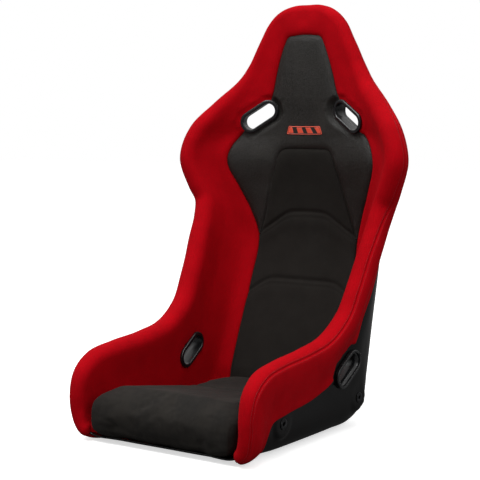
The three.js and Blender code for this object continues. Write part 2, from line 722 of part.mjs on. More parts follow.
// Cross-sections of the cushion from nose to back: y, half width at the middle, top at the side and centre.
const CUSHION_SECTIONS = [
  { y: -290, half: 166, low: 34, side: 62, crown: 66 },
  { y: -287, half: 175, low: 22, side: 82, crown: 86 },
  { y: -278, half: 180, low: 17.5, side: 97, crown: 101 },
  { y: -262, half: 182, low: 17.5, side: 104, crown: 108 },
  { y: -235, half: 177, low: FOAM_Z, side: 104, crown: 108 },
  { y: -200, half: 172, low: FOAM_Z, side: 99, crown: 103 },
  { y: -100, half: CUSHION_HALF_WIDTH, low: FOAM_Z, side: 83, crown: 87 },
  { y: -10, half: CUSHION_HALF_WIDTH, low: FOAM_Z, side: 69, crown: 70 },
  { y: 40, half: CUSHION_HALF_WIDTH, low: FOAM_Z, side: 66, crown: 65 },
  { y: 110, half: 166, low: FOAM_Z, side: 68, crown: 67 },
  { y: 146, half: 152, low: 24, side: 71, crown: 71 },
  { y: 160, half: 142, low: 46, side: 66, crown: 68 },
];

function cushionSection({ y, half, low, side, crown }, inset) {
  const h = half - inset;
  const top = [[h - 4, side - 6], [h - 16, side], [h * 0.6, lerp(side, crown, 0.7)], [0, crown]];
  const foot = lerp(low, side, 0.45);
  const bottom = [[h, Math.max(foot, low + 8)], [h - 20, low + 5], [h * 0.75, low], [0, low]];
  const lift = (points, change) => points.map(([x, z]) => new THREE.Vector3(x, y, z + change));
  const right = { outside: lift(top, -inset), inside: lift(bottom, 0) };
  const across = (points) => [...points, ...points.slice(0, -1).reverse().map(mirrorPoint)];
  return { outside: across(right.outside), inside: across(right.inside) };
}

function cushionOuter(inset) {
  const sections = CUSHION_SECTIONS.map((section, i) => {
    const ends = i === 0 || i === CUSHION_SECTIONS.length - 1;
    const shift = ends ? Math.sign(section.y) * -inset : 0;
    return cushionSection({ ...section, y: section.y + shift }, inset);
  });
  return loft(sections);
}

function cushionFoam() {
  return cushionOuter(COVER_THICKNESS + COVER_GAP).intersect(box([-200, -300, FOAM_Z], [200, 200, 200]));
}

// The sewn cover: top, sides, nose and back over the foam, open underneath.
function cushionCover() {
  const open = box([-140, -236, -10], [140, 138, FOAM_Z + 12]);
  return largestBody(cushionOuter(0).subtract(cushionOuter(COVER_THICKNESS)).subtract(open));
}

const stripBox = (side, z) => box(
  [side * STRIP.x - STRIP.width / 2, -STRIP.length / 2 - 40, z],
  [side * STRIP.x + STRIP.width / 2, STRIP.length / 2 - 40, z + STRIP.thickness],
);

function cushionBase() {
  return box([-126, -225, BASE_Z], [126, 118, BASE_Z + BASE_THICKNESS]);
}

// ---------------------------------------------------------------- assembly

function finish(color, roughness, metalness = 0) {
  return new THREE.MeshStandardMaterial({ color, roughness, metalness });
}
const MATERIALS = {
  gelcoat: finish('#121212', 0.25),
  red_cloth: finish('#a8000f', 0.9),
  leatherette: finish('#2d2b26', 0.55),
  panel_cloth: finish('#211f1d', 0.9),
  suede: finish('#2e2a28', 0.95),
  bezel_plastic: finish('#0d0d0e', 0.3),
  badge: finish('#eb503c', 0.5),
  foam: finish('#4a4a48', 0.95),
  hook_and_loop: finish('#151515', 1),
  steel: finish('#8d8f92', 0.35, 1),
};

const seat = new THREE.Group();
seat.name = 'racing_seat';
function addPiece(name, solid, material) {
  const mesh = new THREE.Mesh(geometryOf(solid), MATERIALS[material]);
  mesh.name = name;
  seat.add(mesh);
}

addPiece('shell', shellSolid(), 'gelcoat');
for (const [hand, side] of [['left', -1], ['right', 1]]) {
  addPiece(`${hand}_bolster`, bolsterSolid(side), 'red_cloth');
  addPiece(`${hand}_rim_band`, rimSolid(side), 'red_cloth');
  addPiece(`${hand}_hook_strip`, stripBox(side, HOOK_Z), 'hook_and_loop');
  addPiece(`${hand}_loop_strip`, stripBox(side, LOOP_Z), 'hook_and_loop');
  for (const [place, end] of [['front', -1], ['rear', 1]]) {
    addPiece(`${hand}_${place}_mount_insert`, mountInsert(side, end), 'steel');
    addPiece(`${hand}_${place}_mount_plate`, mountPlate(side, end), 'steel');
  }
}
addPiece('head_bolster', fitted(loft(headSections(bolsterSection))), 'red_cloth');
addPiece('head_rim_band', fitted(loft(headSections(rimSection))), 'red_cloth');
addPiece('shoulder_insert', insertSolid(), 'leatherette');
for (const [name, solid] of Object.entries(panelPieces())) addPiece(name, solid, 'panel_cloth');
addPiece('badge', badgeSheet(0, GAP - BADGE.sunk, BADGE.thickness), 'badge');
for (const slot of SLOTS) {
  addPiece(`${slot.name}_bezel_inner`, innerBezel(slot), 'bezel_plastic');
  addPiece(`${slot.name}_bezel_outer`, outerBezel(slot), 'bezel_plastic');
  addPiece(`${slot.name}_screw_upper`, bezelScrew(slot, 1), 'steel');
  addPiece(`${slot.name}_screw_lower`, bezelScrew(slot, -1), 'steel');
}
addPiece('cushion_base', cushionBase(), 'hook_and_loop');
addPiece('cushion_foam', cushionFoam(), 'foam');
addPiece('cushion_cover', cushionCover(), 'suede');

export default seat;
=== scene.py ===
"""Looks of a fixed-back racing seat: cloth-covered wings on a moulded shell, a leatherette insert, a quilted
back panel, a suede cushion, harness slot bezels, side mount inserts and the stitching that holds it together.

Metres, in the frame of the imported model: +X across the seat, -Y the front, +Z up, standing on z = 0."""

import math

import bmesh
import bpy
import numpy as np
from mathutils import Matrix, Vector, kdtree, noise


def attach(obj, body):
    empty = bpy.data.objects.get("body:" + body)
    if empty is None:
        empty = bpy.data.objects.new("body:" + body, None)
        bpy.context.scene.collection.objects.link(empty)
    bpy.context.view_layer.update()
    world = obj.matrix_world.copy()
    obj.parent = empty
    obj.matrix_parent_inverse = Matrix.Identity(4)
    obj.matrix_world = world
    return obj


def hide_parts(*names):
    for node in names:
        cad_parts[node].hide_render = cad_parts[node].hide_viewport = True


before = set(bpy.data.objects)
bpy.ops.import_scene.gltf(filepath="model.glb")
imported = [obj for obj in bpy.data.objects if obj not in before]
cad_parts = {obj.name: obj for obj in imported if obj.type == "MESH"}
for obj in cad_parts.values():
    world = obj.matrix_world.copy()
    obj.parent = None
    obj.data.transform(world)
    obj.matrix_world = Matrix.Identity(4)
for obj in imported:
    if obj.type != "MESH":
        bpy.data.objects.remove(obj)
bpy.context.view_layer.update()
MM = 0.001

# ------------------------------------------------------------------------------------ the shell's form
# One row per station along the seat, right-hand half, in millimetres. Columns are the centre line, the seam
# between the insert and the wing, the turn into the wing, the middle of the wing and the centre of the edge
# roll. Then the roll's radius, the padding at the seam, how far the cover returns over the outside, and the
# row position where the wing's padding starts.

STATIONS = [
    ((0, -190, 5), (0, -212, 5), (0, -232, 5.5), (0, -250, 8), (0, -268, 14), 11, 7, 20, 0.9),
    ((0, -185, 5), (50, -208, 5), (75, -230, 5.5), (95, -250, 8), (105, -268, 14), 11, 7, 20, 0.9),
    ((0, -178, 5), (95, -205, 5), (130, -228, 6), (152, -248, 9), (168, -268, 14), 12, 7, 34, 0.8),
    ((0, -170, 5), (118, -200, 5), (160, -222, 8), (182, -246, 15), (192, -268, 27), 15, 7, 75, 0.68),
    ((0, -160, 5), (130, -190, 5), (175, -212, 12), (200, -242, 32), (203, -270, 56), 16.5, 8, 96, 0.5),
    ((0, -150, 5), (138, -178, 5), (184, -200, 16), (206, -235, 55), (205, -270, 94), 17.5, 8, 94, 0.4),
    ((0, -138, 5), (144, -160, 5), (189, -184, 18), (207, -220, 72), (204, -256, 131), 20, 8, 92, 0.33),
    ((0, -122, 5), (148, -140, 5), (191, -162, 18), (206, -196, 84), (202, -222, 154), 22.5, 8, 85, 0.28),
    ((0, -95, 5), (150, -105, 5), (192, -122, 18), (207, -148, 88), (200, -165, 163), 24, 8, 82, 0.25),
    ((0, -30, 5), (150, -32, 5), (192, -38, 18), (207, -52, 92), (199, -70, 171), 25, 8, 78, 0.25),
    ((0, 60, 5), (150, 58, 5), (192, 54, 19), (208, 30, 98), (201, 5, 185), 25, 8, 70, 0.25),
    ((0, 130, 6), (150, 127, 7), (194, 122, 23), (209, 84, 112), (204, 52, 208), 25, 9, 62, 0.25),
    ((0, 180, 28), (150, 178, 28), (194, 169, 46), (211, 125, 140), (208, 90, 240), 25, 14, 58, 0.25),
    ((0, 198, 82), (148, 196, 82), (190, 189, 97), (211, 151, 185), (212, 118, 286), 25, 20, 56, 0.25),
    ((0, 226, 175), (142, 225, 175), (184, 218, 190), (211, 180, 250), (215, 140, 326), 25, 21, 54, 0.25),
    ((0, 260, 276), (136, 259, 278), (180, 244, 288), (211, 205, 325), (219, 161, 370), 25, 21, 50, 0.25),
    ((0, 283, 370), (130, 281, 372), (176, 264, 380), (208, 228, 398), (222, 184, 416), 25, 21, 46, 0.25),
    ((0, 288, 440), (150, 272, 440), (188, 254, 446), (214, 229, 453), (230, 199, 461), 25, 21, 42, 0.25),
    ((0, 286, 495), (172, 256, 492), (204, 240, 494), (230, 218, 496), (246, 193, 498), 25, 21, 40, 0.25),
    ((0, 279, 552), (192, 238, 550), (222, 224, 552), (246, 206, 553), (263, 187, 554), 25, 21, 40, 0.25),
    ((0, 275, 604), (162, 255, 604), (198, 241, 606), (227, 219, 608), (246, 197, 609), 24, 20, 38, 0.25),
    ((0, 271, 648), (114, 265, 650), (148, 255, 654), (179, 241, 658), (203, 223, 660), 23, 20, 36, 0.25),
    ((0, 266, 690), (85, 266, 692), (110, 263, 700), (134, 257, 707), (153, 248, 712), 21, 19, 34, 0.25),
    ((0, 263, 735), (72, 264, 738), (92, 263, 743), (112, 261, 748), (129, 257, 751), 19, 18, 32, 0.25),
    ((0, 262, 772), (59, 263, 780), (73, 263, 789), (88, 262, 798), (101, 260, 806), 18, 18, 30, 0.25),
    ((0, 262, 790), (50, 263, 803), (60, 263, 815), (72, 262, 828), (82, 262, 839), 18, 18, 28, 0.25),
    ((0, 262, 800), (41, 263, 818), (46, 263, 831), (53, 263, 846), (59, 263, 860), 18, 18, 26, 0.25),
    ((0, 262, 806), (21, 263, 822), (24, 263, 837), (28, 264, 854), (31, 266, 870), 18, 18, 25, 0.25),
    ((0, 262, 809), (0, 263, 823), (0, 263, 838), (0, 265, 855), (0, 267, 871), 18, 18, 25, 0.25),
]
TOP = len(STATIONS) - 1
ROLL, PAD, WRAP, FOOT = (np.array([row[5 + i] for row in STATIONS]) for i in range(4))
ROLL, PAD, WRAP = ROLL * MM, PAD * MM, WRAP * MM
MIRRORED_ENDS = 2
SIDEWAYS = np.array([-1.0, 1.0, 1.0])
TIP = 2.3  # station where the wing covers start, under the front corner
JUNCTION = 12.6  # station where the back meets the cushion
SEAM_ROW = 0.25  # row position of the seam between insert and wing
SHELL_HALF = 2 * MM
SEAM_ANGLE = 121  # degrees round the edge roll, from its inner face to the double seam
THIGH_SEAM_ANGLE = 152  # the same beside the cushion, where the seam lies further out
COVER_EDGE = 5 * MM  # thickness of the cover where it ends on the shell


def column_line(number):
    """Points of one column along the whole seat, carried past both ends by their mirror image."""
    right = np.array([row[number] for row in STATIONS], float) * MM
    return np.concatenate([right[2:0:-1] * SIDEWAYS, right, right[-2:-4:-1] * SIDEWAYS])


COLUMN_LINES = [column_line(number) for number in range(5)]


def smoothstep(value, low, high):
    t = np.clip((value - low) / (high - low), 0, 1)
    return t * t * (3 - 2 * t)


def blend(a, b, share):
    return a + (b - a) * share


def unit(vectors):
    return vectors / np.maximum(np.linalg.norm(vectors, axis=-1, keepdims=True), 1e-12)


def dot(a, b):
    return np.sum(a * b, axis=-1)


def through_points(points, t):
    """Centripetal curves: one set of points and one place from 0 to 1 for each row of the input."""
    count = points.shape[1]
    place = np.clip(t, 0, 1) * (count - 1)
    low = np.minimum(place.astype(int), count - 2)
    part = (place - low)[:, None]
    rows = np.arange(len(points))
    p1 = points[rows, low]
    p2 = points[rows, low + 1]
    p0 = np.where((low > 0)[:, None], points[rows, np.maximum(low - 1, 0)], 2 * p1 - p2)
    p3 = np.where((low < count - 2)[:, None], points[rows, np.minimum(low + 2, count - 1)], 2 * p2 - p1)
    tiny = 1e-5
    d1 = np.sqrt(np.linalg.norm(p2 - p1, axis=1))[:, None]
    d1 = np.where(d1 < tiny, 1.0, d1)
    d0 = np.sqrt(np.linalg.norm(p1 - p0, axis=1))[:, None]
    d0 = np.where(d0 < tiny, d1, d0)
    d2 = np.sqrt(np.linalg.norm(p3 - p2, axis=1))[:, None]
    d2 = np.where(d2 < tiny, d1, d2)
    t1 = ((p1 - p0) / d0 - (p2 - p0) / (d0 + d1) + (p2 - p1) / d1) * d1
    t2 = ((p2 - p1) / d1 - (p3 - p1) / (d1 + d2) + (p3 - p2) / d2) * d1
    cubic = 2 * p1 - 2 * p2 + t1 + t2
    square = -3 * p1 + 3 * p2 - 2 * t1 - t2
    return ((cubic * part + square) * part + t1) * part + p1


def rows_at(u):
    """The nine points of each row, from the left edge over the centre line to the right edge."""
    place = (u + MIRRORED_ENDS) / (TOP + 2 * MIRRORED_ENDS)
    half = []
    for line in COLUMN_LINES:
        half.append(through_points(np.broadcast_to(line, (len(u),) + line.shape), place))
    half = np.stack(half, axis=1)
    return np.concatenate([half[:, :0:-1] * SIDEWAYS, half], axis=1)


def middle(u, w):
    """The shell's middle surface: station u, row position w, 0 on the centre line and 1 at the edge roll."""
    u, w = np.broadcast_arrays(np.asarray(u, float), np.asarray(w, float))
    stations, where = np.unique(np.round(u.ravel(), 6), return_inverse=True)
    rows = rows_at(stations)[where]
    return through_points(rows, 0.5 + w.ravel() / 2).reshape(u.shape + (3,))


STEP_U = 0.03
STEP_W = 0.006


def along_row(u, w):
    held = np.clip(w, 2 * STEP_W, 1 - STEP_W)
    return unit(middle(u, held + STEP_W) - middle(u, held - STEP_W))


def along_seat(u, w):
    return unit(middle(u + STEP_U, w) - middle(u - STEP_U, w))


def normal(u, w):
    """Unit normal of the middle surface, towards the sitter."""
    u, w = np.broadcast_arrays(np.asarray(u, float), np.asarray(w, float))
    n = np.cross(along_row(u, w), along_seat(u, np.maximum(w, 2 * STEP_W)))
    on_centre = (w == 0) | (u == 0) | (u == TOP)
    n[..., 0] = np.where(on_centre, 0, n[..., 0])
    return unit(n)


def station_value(values, u):
    return np.interp(u, np.arange(TOP + 1), values)


def padding(u, w):
    """Thickness of foam and cover over the middle surface, growing from the pad to the edge roll."""
    return blend(station_value(PAD, u), station_value(ROLL, u), smoothstep(w, SEAM_ROW, 0.8))


def offset(u, w, height):
    return middle(u, w) + normal(u, w) * np.asarray(height)[..., None]


def roll_point(u, degrees, radius):
    """A point round the edge roll: 0 degrees on the inner face, 90 at the crest, 180 on the outside."""
    n = normal(u, np.ones_like(u))
    rim = along_seat(u, np.ones_like(u))
    outward = unit(np.cross(rim, n))
    flip = dot(outward, along_row(u, np.ones_like(u))) < 0
    outward = np.where(flip[..., None], -outward, outward)
    outward[..., 0] = np.where(u == TOP, 0, outward[..., 0])
    angle = np.radians(degrees)[..., None]
    reach = np.asarray(radius)[..., None]
    return middle(u, np.ones_like(u)) + reach * (n * np.cos(angle) + unit(outward) * np.sin(angle))


def even_stations(start, end, w, spacing):
    """Stations from start to end that lie an even distance apart along one row position."""
    fine = np.linspace(start, end, 1500)
    line = middle(fine, np.full_like(fine, w))
    length = np.concatenate([[0], np.cumsum(np.linalg.norm(np.diff(line, axis=0), axis=1))])
    count = max(2, int(round(length[-1] / spacing)) + 1)
    return np.interp(np.linspace(0, length[-1], count), length, fine)


# ------------------------------------------------------------------------------------ meshes


def make_object(name, vertices, faces, uvs=None):
    mesh = bpy.data.meshes.new(name)
    mesh.from_pydata([tuple(v) for v in np.asarray(vertices).reshape(-1, 3)], [], faces)
    if uvs is not None:
        layer = mesh.uv_layers.new(name="cloth")
        corner = np.zeros(len(mesh.loops), int)
        mesh.loops.foreach_get("vertex_index", corner)
        layer.data.foreach_set("uv", np.asarray(uvs, np.float32).reshape(-1, 2)[corner].ravel())
    mesh.polygons.foreach_set("use_smooth", [True] * len(mesh.polygons))
    mesh.update()
    thing = bpy.data.objects.new(name, mesh)
    bpy.context.scene.collection.objects.link(thing)
    return thing


def grid_faces(rows, columns, first=0, keep=None, flip=False, closed=False):
    """Quads of a grid of vertices, without those that keep leaves out; closed joins the last column round."""
    faces = []
    last = columns if closed else columns - 1
    for i in range(rows - 1):
        for j in range(last):
            if keep is not None and not keep[i, j]:
                continue
            k = (j + 1) % columns
            a, b = first + i * columns + j, first + i * columns + k
            c, d = b + columns, a + columns
            faces.append((a, d, c, b) if flip else (a, b, c, d))
    return faces


def cell_centres(grid):
    return (grid[:-1, :-1] + grid[1:, :-1] + grid[1:, 1:] + grid[:-1, 1:]) / 4


def lengths_along(grid, axis):
    """Distance along one direction of a grid of points, starting at zero."""
    step = np.linalg.norm(np.diff(grid, axis=axis), axis=-1)
    pad = [(0, 0), (0, 0)]
    pad[axis] = (1, 0)
    return np.pad(np.cumsum(step, axis=axis), pad)


def finish_piece(thing, body, slot, material, *stands_for):
    """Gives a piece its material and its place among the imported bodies."""
    if material is not None:
        thing.data.materials.clear()
        thing.data.materials.append(material)
    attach(thing, body)
    if stands_for:
        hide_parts(*stands_for)


def wrinkle(points, scale, seed):
    """Smooth random value from -1 to 1 for every point; scale is the size of one fold."""
    shift = Vector((seed * 3.1, seed * 7.7, seed * 1.3))
    flat = points.reshape(-1, 3)
    values = [noise.noise(Vector(p) / scale + shift) for p in flat]
    return np.array(values).reshape(points.shape[:-1])


# ------------------------------------------------------------------------------------ harness slots

OPENING_LENGTH = 80 * MM
OPENING_WIDTH = 32 * MM
FLANGE_WIDTH = 8 * MM
SLEEVE_WALL = 2.5 * MM
FLANGE_SEAT = 2 * MM
SCREW_REACH = OPENING_LENGTH / 2 + 5.4 * MM
HALF_STRAIGHT = (OPENING_LENGTH - OPENING_WIDTH) / 2


class HarnessSlot:
    """Place and directions of one slot: a racetrack opening through cover, padding and shell."""

    def __init__(self, name, side, u, w, lean, turn=0.0):
        at_u, at_w = np.array([u]), np.array([w])
        mirror = SIDEWAYS if side < 0 else np.ones(3)
        pad = padding(at_u, at_w)
        out = unit(normal(at_u, at_w)[0] - np.array([turn, 0, 0]))
        lean = np.array(lean, float)
        self.name = name
        self.seat = offset(at_u, at_w, pad)[0] * mirror
        self.out = out * mirror
        self.along = unit(lean - out * dot(lean, out)) * mirror
        self.across = np.cross(self.out, self.along)
        self.depth = pad[0] + SHELL_HALF

    def local(self, points):
        """Distance outside the opening's edge, and height over the flange's seat."""
        from_seat = points - self.seat
        length = np.maximum(np.abs(dot(from_seat, self.along)) - HALF_STRAIGHT, 0)
        return np.hypot(length, dot(from_seat, self.across)) - OPENING_WIDTH / 2, dot(from_seat, self.out)

    def ring_line(self, grow, height, arc_steps=20):
        """Racetrack line round the opening, widened by grow."""
        radius = OPENING_WIDTH / 2 + grow
        centre = self.seat + self.out * height
        points = []
        for end in (1, -1):
            for turn in np.linspace(-math.pi / 2, math.pi / 2, arc_steps + 1):
                reach = end * (HALF_STRAIGHT + radius * math.cos(turn))
                points.append(centre + self.along * reach + self.across * (end * radius * math.sin(turn)))
        return np.array(points)


SHOULDER_TURN = 0.16  # how far the shoulder slots face in from the cover around them
SLOTS = []
for hand, side in (("left", -1), ("right", 1)):
    SLOTS.append(HarnessSlot(f"{hand}_shoulder", side, 20.92, SEAM_ROW, (42, -14, -28), SHOULDER_TURN))
    SLOTS.append(HarnessSlot(f"{hand}_lap", side, 11.08, 0.8, (0, 84, 55)))
RIGHT_SLOTS = [slot for slot in SLOTS if slot.name.startswith("right")]

CUT_ROOM = 4 * MM  # how far the cover is cut back from a slot, under its flange
PRESSED = 9 * MM  # width of cover that a flange presses flat
EASED = 22 * MM  # where the cover is back at its own height
REACH = 45 * MM  # a slot acts on what is this close to its seat


def press_under_flanges(grid, slots, height=-1.2 * MM):
    """The cover dips under each bezel's flange and comes back up around it."""
    for slot in slots:
        away, over = slot.local(grid)
        share = (1 - smoothstep(away, PRESSED, EASED)) * (np.abs(over) < REACH)
        grid = grid + slot.out * ((height - over) * share)[..., None]
    return grid


def pulled_folds(grid, slots, seed):
    """Short folds in a cover where a bezel pulls it down."""
    folds = np.zeros(grid.shape[:-1])
    for slot in slots:
        away, over = slot.local(grid)
        near = np.exp(-(((away - 19 * MM) / (11 * MM)) ** 2)) * (np.abs(over) < REACH)
        folds += near * wrinkle(grid, 0.013, seed) * 1.1 * MM
    return folds


def clear_of_openings(grid, slots, room=CUT_ROOM, reach=REACH):
    """Which cells of a grid stay, outside the harness openings."""
    keep = np.ones((grid.shape[0] - 1, grid.shape[1] - 1), bool)
    centres = cell_centres(grid)
    for slot in slots:
        away, over = slot.local(centres)
        keep &= (away > room) | (np.abs(over) > reach)
    return keep


# ------------------------------------------------------------------------------------ wing cover

CREST_SPACING = 4.2 * MM
INNER_STEPS = 34
ROLL_STEPS = 12
BESIDE_SEAM = np.linspace(-9, 9, 10)  # degrees from the double seam
OUTER_STEPS = 15
EDGE_STEPS = 4
VALLEY_DEPTH = 5.5 * MM  # of the seam between insert and wing
VALLEY_WIDTH = 6 * MM
TUCK = 7 * MM  # cover pulled down inside the seam, out of sight
DOUBLE_SEAM_DEPTH = 1.7 * MM
DOUBLE_SEAM_WIDTH = 2.0 * MM
TIP_ROUNDING = 12 * MM


def valley(distance, depth=VALLEY_DEPTH, width=VALLEY_WIDTH):
    """How far a padded surface drops near a seam."""
    return depth * np.exp(-np.abs(distance) / width)


def wrap_end(u):
    """Row position where the cover ends on the outside, kept clear of the lap slot's outer ring."""
    edge = middle(u, np.ones_like(u))
    wrap = station_value(WRAP, u)
    low, high = np.full_like(u, 0.3), np.ones_like(u)
    for _ in range(18):
        w = (low + high) / 2
        beyond = np.linalg.norm(middle(u, w) - edge, axis=-1) > wrap
        low, high = np.where(beyond, w, low), np.where(beyond, high, w)
    end = high.copy()
    lap = [slot for slot in RIGHT_SLOTS if slot.name.endswith("lap")][0]
    for _ in range(40):
        away, _over = lap.local(offset(u, end, np.full_like(u, -4 * MM)))
        end = np.where((away < FLANGE_WIDTH + 4 * MM) & (end < 0.97), end + 0.006, end)
    width = 9
    kernel = np.hanning(2 * width + 1)
    kernel /= kernel.sum()
    padded = np.concatenate([np.full(width, end[0]), end, np.full(width, end[-1])])
    return np.maximum(end, np.convolve(padded, kernel, "valid"))


def seam_angle(u):
    return blend(THIGH_SEAM_ANGLE, SEAM_ANGLE, smoothstep(u, 8.5, 16.5))


def roll_angles(u):
    """Angles round the edge roll for each station, closest together beside the double seam."""
    seam = seam_angle(u)[:, None]
    before = (seam - 13) * np.linspace(0, 1, ROLL_STEPS + 1)[1:]
    after = blend(seam + 14, 180, np.linspace(0, 1, 6))
    return np.concatenate([before, seam + BESIDE_SEAM, after], axis=1)


def cover_half():
    """The right half of the wing cover as a grid: stations by points round the section."""
    u = even_stations(TIP, TOP, 1, CREST_SPACING)
    crest = middle(u, np.ones_like(u))
    from_tip = np.concatenate([[0], np.cumsum(np.linalg.norm(np.diff(crest, axis=0), axis=1))])
    closing = np.clip(1 - from_tip / TIP_ROUNDING, 0, 1)
    fullness = np.sqrt(1 - closing**2) * 0.93 + 0.07
    column = u[:, None]
    foot = station_value(FOOT, u)[:, None] + 0.004
    share = np.linspace(0, 1, INNER_STEPS)[None] ** 1.25
    w = foot + (1 - foot) * share
    stations = np.broadcast_to(column, w.shape)
    from_foot = lengths_along(middle(stations, w), 1)
    inner_height = padding(stations, w)
    depth = np.minimum(VALLEY_DEPTH, 0.5 * inner_height)
    inner_height = inner_height - depth * np.exp(-from_foot / VALLEY_WIDTH)
    inner_height = np.maximum(inner_height * fullness[:, None], 2.6 * MM)
    inner = offset(stations, w, inner_height)
    tucked = offset(stations[:, :1], w[:, :1], np.maximum(inner_height[:, :1] - TUCK, 2.6 * MM))

    roll = station_value(ROLL, u)[:, None]
    angle = roll_angles(u)
    from_seam = np.radians(angle - seam_angle(u)[:, None]) * roll
    puff = 0.5 * MM * np.exp(-((np.abs(from_seam) - 6 * MM) / (3.5 * MM)) ** 2)
    groove = DOUBLE_SEAM_DEPTH * np.exp(-((from_seam / DOUBLE_SEAM_WIDTH) ** 2))
    radius = np.maximum((roll + puff - groove) * fullness[:, None], 3 * MM)
    stations = np.broadcast_to(column, angle.shape)
    rolled = roll_point(stations, angle, radius)

    end = wrap_end(u)[:, None]
    part = np.linspace(0, 1, OUTER_STEPS + 1)[None, 1:]
    w = 1 + (end - 1) * part
    stations = np.broadcast_to(column, w.shape)
    fall = (1 + np.cos(np.pi * part)) / 2
    outer_height = np.maximum(blend(COVER_EDGE, roll, fall) * fullness[:, None], 2.6 * MM)
    outer = offset(stations, w, -outer_height)
    turn = np.linspace(0, math.pi / 2, EDGE_STEPS + 1)[None, 1:]
    thickness = np.maximum(outer_height[:, -1:] - 1.9 * MM, 0.5 * MM)
    inward = unit(middle(u, end[:, 0] - 0.01) - middle(u, end[:, 0]))[:, None]
    n = normal(u, end[:, 0])[:, None]
    last = outer[:, -1:]
    sideways = inward * (np.sin(turn) * thickness)[..., None]
    edge = last + sideways + n * ((1 - np.cos(turn)) * thickness)[..., None]
    return u, np.concatenate([tucked, inner, rolled, outer, edge], axis=1)


def build_wing_cover():
    u, right = cover_half()
    right = press_under_flanges(right, RIGHT_SLOTS)
    fold = wrinkle(right, 0.055, 1) * 0.5 * MM + wrinkle(right, 0.016, 2) * 0.12 * MM
    fold += pulled_folds(right, RIGHT_SLOTS, 3)
    n = unit(np.cross(np.gradient(right, axis=1), np.gradient(right, axis=0)))
    right = right + n * fold[..., None]
    v = lengths_along(right, 1)
    seam_column = 1 + INNER_STEPS
    along = lengths_along(right[:, seam_column : seam_column + 1], 0)
    uv = np.stack([np.broadcast_to(along, v.shape), v - v[:, seam_column : seam_column + 1]], axis=-1)
    keep = clear_of_openings(right, RIGHT_SLOTS)
    rows, columns = right.shape[:2]
    left = right[:-1][::-1] * SIDEWAYS
    left_uv = uv[:-1][::-1] * np.array([-1, 1]) + np.array([2 * along[-1, 0], 0])
    whole = np.concatenate([right, left])
    whole_uv = np.concatenate([uv, left_uv])
    whole_keep = np.concatenate([keep, keep[::-1]])
    faces = grid_faces(2 * rows - 1, columns, keep=whole_keep, flip=True)
    return make_object("wing_cover", whole, faces, whole_uv), right


# ------------------------------------------------------------------------------------ insert and back panel

PANEL_TOP = 574 * MM
WAIST_HEIGHT = 378 * MM
PANEL_CORNER = [(46, 574), (54, 573.2), (62, 570.4), (68, 565.5), (72.5, 559), (76.5, 548)]
PANEL_OUTLINE = np.array(PANEL_CORNER + [(92, 502), (112, 422), (127, 378)]) * MM
CHEVRONS = (
    {"height": 434 * MM, "flat": 50 * MM, "end": (115 * MM, 392 * MM)},
    {"height": 279 * MM, "flat": 86 * MM, "end": (136 * MM, 247 * MM)},
)
PANEL_SEAM_DEPTH = 4.2 * MM
PANEL_SEAM_WIDTH = 5.0 * MM
BACK_SPACING = 3.0 * MM


def panel_stations(start, w):
    """Stations up to the panel's top, closer together where its corners are rounded."""
    corner = TOP_STATION - 0.5
    lower = even_stations(start, corner, w, BACK_SPACING)
    return np.concatenate([lower, even_stations(corner, TOP_STATION, w, 0.5 * MM)[1:]])


def panel_edge_row(u):
    """Row position of the panel's side seam, and of the wing seam below the waist."""
    low, high = np.zeros_like(u), np.full_like(u, SEAM_ROW)
    for _ in range(20):
        w = (low + high) / 2
        point = middle(u, w)
        limit = np.interp(point[:, 2], PANEL_OUTLINE[::-1, 1], PANEL_OUTLINE[::-1, 0])
        outside = point[:, 0] > limit
        high, low = np.where(outside, w, high), np.where(outside, low, w)
    return np.where(middle(u, low)[:, 2] > WAIST_HEIGHT, low, SEAM_ROW)


def station_at_height(height, w):
    fine = np.linspace(JUNCTION, TOP, 4000)
    z = middle(fine, np.full_like(fine, w))[:, 2]
    return float(np.interp(height, z, fine))


TOP_STATION = station_at_height(PANEL_TOP, 0.1)
WAIST_STATION = station_at_height(WAIST_HEIGHT, 0.2)


def trim_height(points, seams, u, w, depth, width):
    """Padding height that drops towards the nearest of several seams."""
    tree = kdtree.KDTree(len(seams))
    for i, point in enumerate(seams):
        tree.insert(point, i)
    tree.balance()
    flat = points.reshape(-1, 3)
    away = np.array([tree.find(p)[2] for p in flat]).reshape(points.shape[:-1])
    return padding(u, w) - valley(away, depth, width)


def seam_points():
    """Closely spaced points of the middle surface along the wing seam and the panel's sides and top."""
    wing = even_stations(JUNCTION - 0.4, TOP, SEAM_ROW, 2 * MM)
    wing_line = middle(wing, np.full_like(wing, SEAM_ROW))
    side = panel_stations(WAIST_STATION, 0.15)
    side_line = middle(side, panel_edge_row(side))
    across = np.linspace(0, panel_edge_row(np.array([TOP_STATION]))[0], 40)
    top_line = middle(np.full_like(across, TOP_STATION), across)
    return np.concatenate([wing_line, side_line, top_line])


ALL_SEAMS = seam_points()


def chevron_distance(points, chevron):
    """Distance above a chevron line, whose corners are rounded."""
    x, z = np.abs(points[..., 0]), points[..., 2]
    end_x, end_z = chevron["end"]
    slope = (chevron["height"] - end_z) / (end_x - chevron["flat"])
    soft = 7 * MM
    bend = np.log1p(np.exp((x - chevron["flat"]) / soft)) * soft
    return (z - (chevron["height"] - slope * bend)) / math.hypot(1, slope * 0.7)


def crease(distance, depth, width):
    return depth * np.exp(-((distance / width) ** 2))


